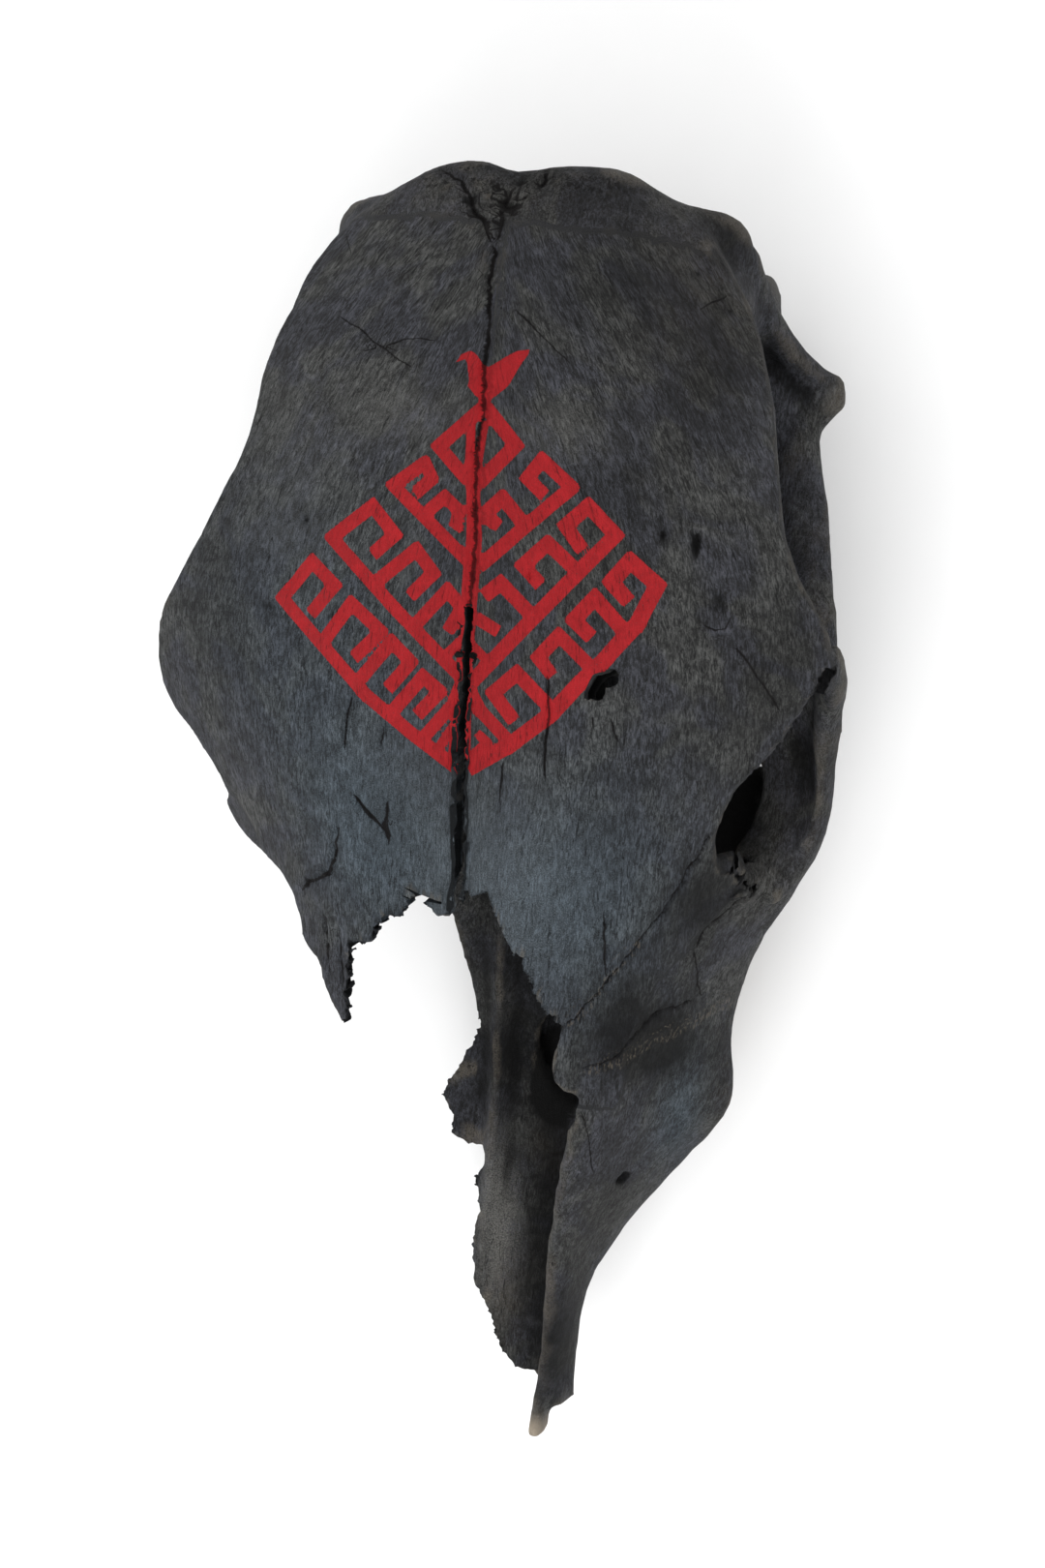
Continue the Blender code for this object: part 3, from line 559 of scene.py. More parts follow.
def grown(path, tree, values):
    """Run a tree on a path and return the result as a plain mesh object at the origin."""
    modifier = path.modifiers.new("grown", "NODES")
    modifier.node_group = tree
    for item in tree.interface.items_tree:
        if item.in_out == "INPUT" and item.name in values:
            modifier[item.identifier] = values[item.name]
    evaluated = path.evaluated_get(bpy.context.evaluated_depsgraph_get())
    mesh = bpy.data.meshes.new_from_object(evaluated)
    name = path.name
    bpy.data.objects.remove(path)
    return placed(name, mesh)


bone_material = bpy.data.materials.new("weathered_bone")
blades_tree = blade_tree(bone_material)
print("blade tree has", len(blades_tree.nodes), "nodes")

# %% [markdown]
# The paths are the broken outlines in plan. Each blade is pushed outwards, so that only its inner wall
# touches the bone and the outline stays where it was. The open seam is cut by a blade that lies on the
# line itself and widens towards the broken front.

# %% Cut the broken edges and the open seam
FRONT_BREAK = [(-37.7, -81.1), (-35.9, -79.0), (-36.0, -75.7), (-37.3, -71.6), (-35.6, -68.6), (-36.0, -60.1),
        (-36.5, -55.6), (-33.6, -54.9), (-30.0, -56.3), (-27.7, -53.9), (-26.8, -50.8), (-25.3, -47.3),
        (-22.3, -46.0), (-18.8, -45.9), (-17.3, -42.7), (-16.2, -39.6), (-14.4, -38.2), (-12.9, -36.8),
        (-11.1, -41.1), (-8.8, -43.8), (-6.9, -44.1), (-3.0, -42.8), (-0.4, -40.4), (1.8, -35.6),
        (2.5, -37.3), (6.7, -35.7), (8.7, -38.7), (11.7, -44.9), (15.6, -52.2), (17.4, -52.9), (20.0, -57.3),
        (22.2, -62.5), (24.1, -65.6), (26.3, -68.9), (29.8, -71.9), (31.8, -72.5)]
MIDDLE_BREAK = [(-8, -78), (-12, -88), (-18, -98), (-20, -104), (-16, -110), (-16, -117), (-9, -120), (-4, -120),
        (-4, -124), (-7, -129), (-4, -139), (-5, -153), (-3, -164), (2, -171), (5, -179), (9, -186),
        (14, -190), (22, -191), (23, -200)]
RIM_BREAK = [(80.0, 12.0, 122.5), (85.0, 20.0, 124.5), (90.8, 27.9, 125.6), (94.5, 34.0, 127.0),
        (98.5, 40.5, 128.5), (101.5, 46.5, 129.5), (104.0, 51.5, 130.5), (106.0, 57.0, 131.0)]
TEAR_BONE_EDGE = [(76.5, 5.0, 112.0), (79.0, 0.0, 106.0), (80.7, -5.1, 104.4), (79.6, -7.9, 104.5),
        (81.9, -9.7, 100.8), (83.2, -11.4, 98.1), (86.5, -14.1, 94.6)]
SEAM_SLIT = [(0.9, 62.0, 164.0), (0.6, 52.0, 161.0), (0.7, 41.4, 158.6), (0.2, 27.0, 154.5), (0.9, 12.4, 150.2),
        (1.0, -2.2, 145.8), (1.7, -16.9, 141.4), (1.3, -25.3, 138.9), (1.6, -37.0, 135.0)]
RAGGED_HOLE = [(39.6, 46.4), (41.6, 46.9), (43.3, 47.4), (44.5, 48.7), (45.7, 48.8), (47.0, 47.3), (47.0, 45.2),
        (46.1, 44.1), (44.3, 43.3), (43.1, 43.2), (42.3, 41.7), (41.1, 40.7), (39.9, 40.1), (38.7, 39.0),
        (37.3, 39.2), (37.3, 41.1), (37.8, 42.4), (38.8, 44.6)]
HOLE_DEPTH, PRISM_ABOVE = 12.0, 3
MIDDLE_BLADE_HEIGHT = 52.0


def on_top(outline, below):
    """Lift an outline in plan to just below the forehead."""
    places = [(x + SEAM_X, y + SEAM_Y) for x, y in outline]
    return [(x, y, float(forehead_height(x, y)) - below) for x, y in places]


def prism(name, outline, depth):
    """Return an upright prism that reaches from above the forehead down by a depth."""
    top = [(x, y, float(forehead_height(x, y)) + PRISM_ABOVE) for x, y in outline]
    places = top + [(x, y, z - depth - PRISM_ABOVE) for x, y, z in top]
    count = len(top)
    sides = [(i, (i + 1) % count, count + (i + 1) % count, count + i) for i in range(count)]
    mesh = bpy.data.meshes.new(name)
    caps = [tuple(range(count)), tuple(range(2 * count - 1, count - 1, -1))]
    mesh.from_pydata([Vector(place) * MM for place in places], [], caps + sides)
    return placed(name, mesh)


def blade(name, places, width, depth, reach, shift, taper=1.0, pitch=1.3, seed=1):
    """Grow one blade; all sizes in millimetres."""
    return grown(path_object(name, places), blades_tree, {
        "Pitch": pitch * MM, "Width": width * MM, "Depth": depth * MM, "Wander": reach * MM, "Shift": shift * MM,
        "Taper": taper, "Seed": seed})


middle_places = [(x + SEAM_X, y + SEAM_Y, MIDDLE_BLADE_HEIGHT) for x, y in MIDDLE_BREAK]
blades = joined("blades", [
    blade("front_blade", on_top(FRONT_BREAK, 3.0), width=3.2, depth=18, reach=0.5, shift=0.75, pitch=1.0, seed=3),
    blade("middle_blade", middle_places, width=3.2, depth=58, reach=0.7, shift=0.6, seed=4),
    blade("rim_blade", RIM_BREAK, width=2.6, depth=9, reach=0.5, shift=0.5, pitch=1.0, seed=5),
    blade("seam_blade", SEAM_SLIT, width=2.0, depth=24, reach=0.35, shift=0.0, taper=0.3, pitch=3.1, seed=6),
    blade("tear_bone_blade", TEAR_BONE_EDGE, width=1.4, depth=16, reach=0.45, shift=0.0, pitch=1.1, seed=7),
    prism("hole_blade", RAGGED_HOLE, HOLE_DEPTH)])
with_modifier(bone, "BOOLEAN", operation="DIFFERENCE", solver="EXACT", use_self=True, object=blades)
bpy.data.objects.remove(blades)


def largest_island(points, triangles):
    """Keep only the triangles of the largest connected piece."""
    label = np.arange(len(points))
    while True:
        lowest = label[triangles].min(axis=1)
        new = label.copy()
        for corner in range(3):
            np.minimum.at(new, triangles[:, corner], lowest)
        new = new[new]
        if (new == label).all():
            break
        label = new
    sizes = np.bincount(label[triangles[:, 0]], minlength=len(points))
    triangles = triangles[label[triangles[:, 0]] == sizes.argmax()]
    used, triangles = np.unique(triangles, return_inverse=True)
    return points[used], triangles.reshape(-1, 3)


skin_points, skin_triangles = arrays_of(bone.data)
skin_points, skin_triangles = largest_island(skin_points, skin_triangles)
print("cut skin:", len(skin_triangles), "triangles")

# %% [markdown]
# ## Seams and cracks
#
# Skull bones meet in seams that wander like a saw cut, and old bone splits along its fibres. Both are
# lines on the surface. Each is kept as a short list of places, and each point of the skin then learns how
# far it lies across and along the nearest line. Those two numbers shape the groove and darken it later.

# %% Lines on the bone, in millimetres: half width, depth, and the places along them
MIDDLE_SEAM = [(-0.4, 169.1, 182.5), (0.6, 166.1, 182.8), (0.1, 155.1, 183.1), (1.2, 141.0, 181.9),
        (0.8, 132.5, 180.7), (1.2, 118.4, 178.2), (0.3, 107.0, 175.9), (0.3, 98.5, 174.0), (1.3, 84.5, 170.4),
        (1.3, 70.2, 166.6), (1.2, 55.9, 162.7), (0.7, 41.4, 158.6)]
EYE_SEAM = [(75.3, 3.7, 122.6), (73.4, -0.1, 121.4), (71.8, -4.1, 119.7), (68.9, -8.0, 119.3), (66.1, -15.2, 117.6),
        (62.5, -22.2, 116.4), (60.7, -24.5, 116.8), (56.6, -31.3, 116.9), (52.9, -37.8, 117.5),
        (47.9, -45.3, 118.4), (43.4, -52.4, 119.4), (39.1, -58.3, 120.3), (36.0, -60.7, 121.5)]
CHEEK_SEAM_TOP = [(85.1, -14.5, 98.2), (82.9, -16.3, 98.6), (79.8, -19.1, 96.3), (77.5, -21.8, 97.3),
        (74.7, -24.8, 98.6), (71.3, -30.4, 98.3), (69.8, -33.9, 97.9)]
CHEEK_SEAM_FRONT = [(69.9, -49.0, 87.7), (65.6, -51.9, 93.1), (60.6, -53.8, 98.6), (57.1, -59.4, 101.2),
        (53.8, -64.5, 105.1), (51.8, -68.3, 106.9), (47.7, -71.1, 109.6), (41.2, -73.9, 114.1)]
LOWER_SEAM = [(0.7, 41.4, 158.6), (0.2, 27.0, 154.5), (0.9, 12.4, 150.2), (1.0, -2.2, 145.8), (1.7, -16.9, 141.4),
        (1.3, -25.3, 138.9), (1.6, -34.0, 136.2)]
SEAMS = [(0.6, 1.5, MIDDLE_SEAM), (0.22, 0.8, EYE_SEAM), (0.4, 0.8, CHEEK_SEAM_TOP), (0.2, 0.6, CHEEK_SEAM_FRONT)]
CRACKS = [
    (0.30, 0.8, [(79.1, 60.8, 150.2), (85.5, 53.6, 144.7), (94.1, 42.2, 134.0)]),
    (0.30, 0.9, [(46.1, -23.5, 128.9), (46.4, -34, 124.5), (47.1, -45.3, 119.1)]),
    (0.40, 1.0, [(69.8, -33.9, 97.9), (70.8, -40.6, 91.7), (71.8, -48.9, 84.4)]),
    (0.28, 0.8, [(-35.3, 32.8, 153.3), (-36.9, 21.6, 149.1), (-37.1, 15.1, 146.6)]),
    (0.22, 0.6, [(-23.9, 24.7, 152.6), (-24.8, 17.2, 150.0)]),
    (0.50, 1.2, [(-33.8, 3.1, 142.9), (-29.4, -1.8, 142.3), (-23.9, -6.8, 142.1), (-21.9, -2.7, 143.8),
        (-21.7, 2.6, 145.6)]),
    (0.28, 0.8, [(-21.9, -4.7, 143.0), (-21.5, -12.5, 140.7)]),
    (0.50, 1.2, [(-38.2, -7.5, 136.6), (-40.6, -18.5, 130.6), (-42.5, -23.0, 127.4), (-47.1, -25.3, 122.9),
        (-51.6, -26.4, 118.6), (-54.3, -30.1, 114.0)]),
    (0.25, 0.6, [(13.9, 18.3, 151.9), (13.6, 0.7, 146.5)]),
    (0.32, 0.9, [(26.0, 45.1, 159.1), (27.3, 32.8, 155.4), (26.1, 22.6, 152.4), (26.6, 12.4, 149.1)]),
    (0.25, 0.6, [(45.4, 34.6, 153.0), (46.1, 31, 151.3), (48.1, 26.8, 149.8)]),
    (0.24, 0.5, [(-47.3, 144.4, 173.6), (-40.2, 141.4, 176.4), (-32.0, 136.1, 178.3), (-21.2, 130.6, 179.4)]),
    (0.20, 0.5, [(-39.5, 134.6, 176.1), (-31.9, 135.8, 178.3), (-23.5, 139.3, 180.1), (-14.4, 139.4, 181.1)]),
    (0.24, 0.6, [(-49.6, 170.8, 165.4), (-45.9, 163.2, 171.6)]),
    (0.26, 0.6, [(68.4, 162.8, 160.9), (64.2, 160.0, 164.2), (60.3, 156.2, 168.3)]),
    (0.22, 0.5, [(7.5, 151.2, 182.7), (17.1, 143.3, 182.0), (26.7, 135.8, 180.2)]),
    (0.30, 0.8, [(70.5, 65.2, 154.8), (74.2, 63.6, 153.0), (77.1, 64.6, 152.0), (78.4, 69.3, 152.3)]),
    (0.22, 0.5, [(42.0, -86.6, 110.1), (45.8, -107.7, 94.8)]),
    (0.25, 0.6, [(40.0, 34.8, 154.3), (40.8, 30.0, 152.5)]),
    (0.35, 0.9, [(-43.9, -35.8, 120.8), (-42.9, -49.5, 115.9), (-41.1, -55.4, 115.4)]),
    (0.30, 0.8, [(-38.4, -39.7, 123.4), (-36.7, -57.8, 117.9)]),
]
POLL_GROOVES = [
    (0.50, 1.5, [(-22.3, 191.3, 167.8), (-19.0, 189.8, 170.3), (-16.1, 188.1, 172.4), (-14.2, 188.0, 172.8),
        (-12.6, 185.9, 174.8), (-10.6, 184.0, 176.2), (-9.3, 181.4, 178.0), (-7.4, 178.0, 179.9),
        (-4.7, 176.8, 180.4), (-3.7, 173.9, 181.3), (-2.1, 171.1, 182.1), (-0.6, 169.1, 182.4)]),
    (0.50, 1.5, [(-1.2, 187.7, 173.6), (-0.1, 185.4, 175.2), (0.3, 181.4, 178.2), (-0.1, 179.1, 179.4),
        (1.1, 176.2, 180.6), (1.3, 172.5, 181.8), (0.5, 170.3, 182.3), (-0.4, 169.1, 182.4)]),
    (0.38, 1.1, [(-3.6, 189.2, 172.6), (-4.4, 187.4, 174.0), (-4.0, 183.8, 176.6), (-3.8, 180.3, 178.9),
        (-2.8, 179.2, 179.4)]),
    (0.38, 1.1, [(-3.0, 189.1, 172.6), (-2.1, 186.0, 174.9), (-1.7, 182.4, 177.5), (-2.4, 180.0, 179.0)]),
    (0.38, 1.1, [(2.7, 191.8, 170.4), (3.4, 187.8, 173.3), (3.4, 184.6, 175.8), (3.3, 180.6, 178.6),
        (3.4, 177.9, 179.9), (2.9, 175.5, 180.9)]),
    (0.38, 1.1, [(8.8, 194.0, 166.3), (10.9, 190.6, 171.0), (10.8, 187.3, 173.5), (11.0, 185.1, 175.2)]),
    (0.26, 0.7, [(4.2, 180.9, 178.4), (3.7, 182.4, 177.4), (4.7, 183.2, 176.8), (6.1, 182.0, 177.6),
        (5.7, 180.4, 178.6), (4.5, 180.5, 178.6)]),
    (0.26, 0.7, [(-3.6, 176.4, 180.6), (-2.2, 175.7, 180.8), (-1.5, 174.1, 181.3), (-1.9, 172.1, 181.8)]),
    (0.26, 0.7, [(-8.6, 175.2, 180.8), (-8.3, 177.4, 180.2), (-7.4, 178.2, 179.9)]),
    (0.26, 0.7, [(7.0, 190.2, 171.4), (8.6, 188.6, 172.6), (9.8, 186.3, 174.3)]),
    (0.26, 0.7, [(6.3, 179.7, 179.0), (5.9, 178.1, 179.8), (7.1, 176.6, 180.5)]),
]
FLECKS = [  # pale flecks along the two cheek seams: half reach, no depth, places
    (1.3, 0, [(56.6, -31.3, 116.9), (52.9, -37.8, 117.5), (47.9, -45.3, 118.4), (43.4, -52.4, 119.4),
        (39.1, -58.3, 120.3), (36.0, -60.7, 121.5)]),
    (1.8, 0, [(79.5, -49.7, 66.0), (76.4, -51.0, 75.3), (72.9, -53.8, 80.1), (68.7, -57.8, 85.6), (65.8, -59.9, 89.0),
        (59.7, -64.1, 95.8), (53.1, -69.5, 103.1), (47.8, -72.6, 109.0), (42.1, -75.3, 113.0)]),
]
print(len(SEAMS), "seams,", len(CRACKS), "cracks and", len(POLL_GROOVES), "grooves at the poll")

# %% [markdown]
# Each line is a chain of straight pieces. A point belongs to the piece that it lies nearest to, and its
# distance across is measured in the plane of the skin. No real seam is straight, so a second helper lets
# the line sway to and fro.

# %% How far a point lies from a line


def near_line(points, normals, line):
    """Return for each point its true distance, its signed distance across, its place along, and the length."""
    nearest = np.full(len(points), 1e9)
    across = np.zeros(len(points))
    along = np.zeros(len(points))
    travelled = 0.0
    for start, end in zip(np.array(line[:-1], float), np.array(line[1:], float)):
        step = end - start
        length = np.linalg.norm(step)
        share = np.clip((points - start) @ step / length ** 2, 0, 1)
        gap = points - (start + share[:, None] * step)
        distance = np.linalg.norm(gap, axis=1)
        sideways = np.cross(normals, step / length)
        closer = distance < nearest
        nearest = np.where(closer, distance, nearest)
        across = np.where(closer, (gap * sideways).sum(axis=1), across)
        along = np.where(closer, travelled + share * length, along)
        travelled += length
    return nearest, across, along, travelled


def wander(along, seed, pitch, low, high, count=400):
    """Return a value that wanders between low and high along a line, with a new aim every pitch."""
    aims = np.random.default_rng(seed).uniform(low, high, count)
    return np.interp(along / pitch, np.arange(count), aims)


# %% [markdown]
# The places where the skin needs small triangles follow from the same lines. The painted part of the
# forehead is fine all over, because the edge of each painted stroke is read from the points of the mesh.

# %% Split the skin where detail is needed
PAINT_ZONE = (-64, 62, 8, 142)
FACE_EDGE, PAINT_EDGE, LINE_EDGE, POLL_EDGE, HIDDEN_EDGE = 3.2, 1.6, 1.0, 0.6, 12.0


def longest_edge(middle):
    """Return the longest edge allowed at each place, in millimetres."""
    x, y, z = middle.T
    top = np.abs(z - forehead_height(x, y)) < 4
    face = top | ((x > 30) & (y < 20) & (z > 30 + 0.2 * np.abs(y)))
    limit = np.where(face, FACE_EDGE, HIDDEN_EDGE)
    painted = (x > PAINT_ZONE[0]) & (x < PAINT_ZONE[1]) & (y > PAINT_ZONE[2]) & (y < PAINT_ZONE[3]) & top
    limit = np.where(painted, PAINT_EDGE, limit)
    flat = np.zeros(middle.shape)
    for half_width, _, line in SEAMS + POLL_GROOVES:
        finest = POLL_EDGE if line[0][1] > 170 else LINE_EDGE
        near = np.all((middle > np.min(line, axis=0) - 4) & (middle < np.max(line, axis=0) + 4), axis=1)
        distance = near_line(middle[near], flat[near], line)[0]
        limit[near] = np.where(distance < finest + half_width, np.minimum(limit[near], finest), limit[near])
    return limit


skin_points, skin_triangles = refined(skin_points, skin_triangles, longest_edge)
skin_edges, _ = edges_of(skin_triangles, len(skin_points))
skin_normals = normals_of(skin_points, skin_triangles)
share = on_forehead(skin_points, skin_normals)
settle = share * (1 - poll_share(skin_points))
skin_points = settled(skin_points, settle)
print("refined skin:", len(skin_triangles), "triangles")

# %% [markdown]
# ## Relief of the bone
#
# Real bone is never even. Broad lumps come first, then the pits over the brow where nerves and vessels
# leave the bone, then the grooves of the seams and cracks. Each is a shift along the normal.

# %% Lumps, pits and grooves
BROW_DENTS = [  # centre, reach along x and y, depth
    ((66.2, 88.6), (1.5, 4.2), 3.6), ((69.3, 82), (3.2, 6.0), 1.5), ((73.2, 73), (4.0, 7.0), 1.7),
    ((56.9, 90.0), (1.2, 2.2), 2.2), ((75.7, 72.4), (1.2, 1.3), 1.6), ((68.9, 157.9), (1.0, 1.4), 1.8),
    ((-52.9, 83.8), (1.2, 1.4), 1.6), ((-75.1, 69.5), (2.6, 2.6), 0.9), ((-65.6, 71.8), (4, 3), 0.9),
    ((-64.4, 56.8), (3.4, 2.2), 1.0), ((-77, 60.2), (3, 4), 0.8), ((-57, 66), (2.4, 4.0), 0.7),
    ((18.5, 73.5), (0.9, 0.9), 0.9), ((83, 29), (3, 4), 0.5), ((60, 33), (2.2, 1.6), 0.7)]
HOLE_ROW = [(55, 178), (57.5, 175), (59, 171.5), (61, 169), (63.5, 166.5), (65, 164), (58, 168), (55.5, 172)]
HOLE_REACH, HOLE_DENT = (0.8, 1.0), 1.1
POLL_FORM = [  # centre, reach, lift: a saddle between two humps
    ((1, 198, 162), (8, 14, 30), -3.0), ((30, 193, 166), (14, 10, 20), 2.2), ((-26, 186, 172), (8, 8, 14), 1.0)]
LUMPS = [(19.0, 3.1, 0.5), (6.5, 7.7, 0.25)]  # pitch, seed, height
SKIN_DROP = 0.35  # keeps the lumps inside the solid
NO_LINE = 9.0  # stored as the distance where no line is near


def noise_field(points, pitch, seed):
    """Return a smooth random value at each point, from about -1 to 1."""
    shift = Vector((seed, -seed, 0.5 * seed))
    return np.array([noise.noise(Vector(p) / pitch + shift) for p in points.tolist()])


def soft_spot_at(points, centre, reach):
    """Return a soft spot that is 1 at its centre and fades with distance."""
    return np.exp(-(((points - centre) / reach) ** 2).sum(axis=1))


def line_grooves(points, normals, lines, pitch, reach):
    """Return the groove depth, the signed distance across and the half width of the nearest line."""
    depth, width = np.zeros(len(points)), np.zeros(len(points))
    across = np.full(len(points), NO_LINE)
    for number, (half_width, deep, line) in enumerate(lines):
        low, high = np.min(line, axis=0) - 5, np.max(line, axis=0) + 5
        near = np.nonzero(np.all((points > low) & (points < high), axis=1))[0]
        distance, side, along, length = near_line(points[near], normals[near], line)
        side = side + wander(along, number, pitch, -reach, reach)
        side = side + wander(along, number + 50, 3.1 * pitch, -reach, reach)
        taper = np.clip(np.minimum(along, length - along) / 2.5, 0, 1) ** 0.7
        taper = (distance < 4.0) * taper * wander(along, number + 90, 2.2 * pitch, 0.7, 1.6)
        local = half_width * taper
        hit = (np.abs(side) - local < np.abs(across[near]) - width[near]) & (local > 0)
        across[near] = np.where(hit, side, across[near])
        width[near] = np.where(hit, local, width[near])
        depth[near] = np.maximum(depth[near], deep * taper * np.exp(-(side / (half_width + 0.3)) ** 2))
    return depth, across, width


lumps = sum(height * noise_field(skin_points, pitch, seed) for pitch, seed, height in LUMPS)
rough_zone = soft_spot_at(skin_points, (0, 186, 172), (42, 9, 16)) + soft_spot_at(skin_points, (59, 172, 160), (6, 12, 14))
lumps += noise_field(skin_points, 2.6, 1.3) * (0.10 + 0.75 * np.clip(rough_zone, 0, 1))
for centre, reach, lift in POLL_FORM:
    lumps += lift * soft_spot_at(skin_points, centre, reach)
skin_points = skin_points + skin_normals * (lumps - SKIN_DROP)[:, None]
for (x, y), (reach_x, reach_y), deep in BROW_DENTS + [(place, HOLE_REACH, HOLE_DENT) for place in HOLE_ROW]:
    inside = ((skin_points[:, 0] - x) / reach_x) ** 2 + ((skin_points[:, 1] - y) / reach_y) ** 2
    skin_points[:, 2] -= deep * np.exp(-inside) * (share > 0.1)
seam_depth, seam_side, seam_width = line_grooves(skin_points, skin_normals, SEAMS, 1.2, 0.35)
crack_depth, crack_side, crack_width = line_grooves(skin_points, skin_normals, CRACKS + POLL_GROOVES, 3.0, 0.3)
_, fleck_side, fleck_width = line_grooves(skin_points, skin_normals, FLECKS, 2.0, 0.5)
sprung_depth, _, _ = line_grooves(skin_points, skin_normals, [(1.5, 1.1, LOWER_SEAM)], 3.0, 0.4)
grooves = np.maximum(np.maximum(seam_depth, crack_depth), sprung_depth)
skin_points = skin_points - skin_normals * grooves[:, None]
print("deepest seam and crack in mm:", [round(float(depth.max()), 2) for depth in (seam_depth, crack_depth)])

# %% [markdown]
# ## The painted ornament
#
# Hook meanders hang in four steps on each side of the seam, under a pair of horns: an old folk pattern,
# brushed on freehand. Each stroke is a list of corners in plan and a width. For every point of the skin
# the distance to the nearest stroke's edge is worked out and stored, and the material turns it into paint.
# A number that changes evenly across the skin keeps a sharp edge, which a stored colour would blur.

# %% The strokes, as (width, corners) in millimetres
LEFT_STROKES = [
    (4.2, [(0.5, 120.1), (-11.3, 108.5), (-1.5, 99.3)]),
    (4.0, [(0.8, 75.0), (-24.8, 95.9), (-15.2, 103.3), (-12.7, 98.9), (-17.7, 94.1)]),
    (3.9, [(-14.1, 88.6), (-8.5, 94.0), (-3.9, 90.4), (-4.7, 86.1)]),
    (2.6, [(-5.6, 86.5), (-2.7, 84.9)]),
    (4.2, [(-0.6, 41.6), (-21.8, 59.3), (-43.7, 78.9), (-31.0, 89.3), (-23.4, 81.5), (-30.1, 75.1)]),
    (4.2, [(-27.9, 67.6), (-16.4, 77.7), (-10.7, 71.3), (-17.6, 63.9)]),
    (4.1, [(-15.5, 55.5), (-6.0, 66.8), (-1.3, 61.8), (-5.3, 54.6)]),
    (3.1, [(-6.4, 46.5), (-1.1, 52.1)]),
    (4.2, [(-0.9, 14.5), (-14.5, 22.7), (-30.6, 33.4), (-59.5, 59.6), (-49.9, 71.2), (-42.0, 64.8), (-49.5, 55.6)]),
    (4.2, [(-44.4, 48.4), (-36.3, 59.9), (-26.2, 52.4), (-34.6, 43.9)]),
    (4.2, [(-31.6, 38.4), (-22.7, 49.7), (-16.3, 44.4), (-23.2, 35.7)]),
    (4.2, [(-20.2, 30.4), (-12.3, 40.4), (-6.7, 36.5), (-13.5, 28.8)]),
    (3.9, [(-11.0, 22.6), (-2.6, 32.9), (-0.7, 38.6)]),
    (2.9, [(-5.7, 20.8), (-1.8, 27.0)]),
    (2.6, [(-1.8, 115.9), (-1.6, 104.3), (-0.5, 94.4), (0.1, 82.8), (-0.3, 74.5), (-0.5, 57.7), (-1.1, 40.7),
        (-1.3, 29.6), (-1.9, 20.2), (-2.4, 15.9)]),
    (3.4, [(1.3, 124.8), (1.8, 119.5)]),
]
RIGHT_STROKES = [
    (4.4, [(3.1, 120.3), (12.1, 111.0), (1.4, 98.6)]),
    (4.2, [(4.3, 75.7), (29.7, 100.5), (20.3, 107.6), (16.3, 101.8), (21.7, 97.4)]),
    (4.4, [(15.9, 88.6), (9.2, 95.4), (4.0, 90.0), (8.4, 87.0)]),
    (4.4, [(3.6, 41.2), (43.5, 88.1), (34.9, 95.7), (28.6, 89.2), (34.0, 82.8)]),
    (4.4, [(33.1, 76.1), (23.7, 83.6), (16.6, 76.3), (22.1, 71.3)]),
    (4.4, [(19.6, 62.4), (10.1, 70.5), (5.4, 66.2)]),
    (3.9, [(4.4, 59.0), (10.2, 56.2)]),
    (2.9, [(2.9, 50.9), (6.8, 47.5)]),
    (4.8, [(4.7, 15.4), (15.8, 23.0), (27.6, 33.5), (35.1, 42.8), (42.3, 50.9), (51.5, 62.9), (56.6, 74.9),
        (48.2, 81.1), (43.1, 74.3), (48.6, 69.2)]),
    (4.6, [(46.5, 61.7), (38.6, 69.2), (32.8, 62.0), (38.3, 57.6)]),
    (4.2, [(37.3, 49.9), (28.7, 57.0), (22.8, 49.8), (27.3, 45.0)]),
    (4.4, [(26.8, 35.7), (16.6, 44.5), (9.7, 37.8), (16.5, 30.3)]),
    (4.1, [(13.9, 25.2), (5.9, 32.3), (2.6, 37.8)]),
    (2.9, [(4.8, 18.8), (8.6, 23.0), (5.4, 25.3)]),
    (2.6, [(2.2, 116.2), (1.0, 104.5), (1.1, 94.6), (2.3, 83.1), (2.3, 74.7), (1.9, 57.9), (1.6, 41.0), (2.0, 30.0),
        (2.3, 20.7), (2.3, 16.5)]),
]
LEFT_HORN = [(-8.1, 132.9), (-6.6, 135.7), (-3.8, 137.2), (-1.8, 136.3), (0.2, 133.6), (2.5, 132.8), (2.1, 129.5),
        (1.3, 124.8), (0.5, 123.4), (-1.3, 124.2), (-2.8, 125.9), (-3.9, 126.8), (-3.4, 128.1), (-4.2, 132.2),
        (-4.8, 134.5), (-6.5, 134.0)]
RIGHT_HORN = [(2.5, 133.0), (4.9, 134.7), (7.5, 136.6), (10.6, 138.4), (14.3, 139.1), (13.7, 137.2), (12.3, 135.2),
        (10.9, 132.6), (9.6, 130.0), (8.6, 128.0), (5.7, 125.2), (3.8, 123.7), (0.7, 123.4), (1.2, 125.2),
        (2.1, 129.5)]


CORNER_REACH, END_REACH = 0.8, 0.1  # how far a stroke goes past a corner and past its end, in half widths
NOT_PAINTED = -3


def inside_stroke(x, y, width, corners):
    """Return how deep each place lies inside a stroke with square corners; outside is negative."""
    best = np.full(len(x), -50.0)
    last = len(corners) - 2
    for i, ((ax, ay), (bx, by)) in enumerate(zip(corners, corners[1:])):
        length = np.hypot(bx - ax, by - ay)
        ux, uy = (bx - ax) / length, (by - ay) / length
        along = (x - ax) * ux + (y - ay) * uy
        across = np.abs((y - ay) * ux - (x - ax) * uy)
        before = CORNER_REACH * width / 2
        beyond = (END_REACH if i == last else CORNER_REACH) * width / 2
        depth = np.minimum(width / 2 - across, np.minimum(along + before, length + beyond - along))
        best = np.maximum(best, depth)
    return best


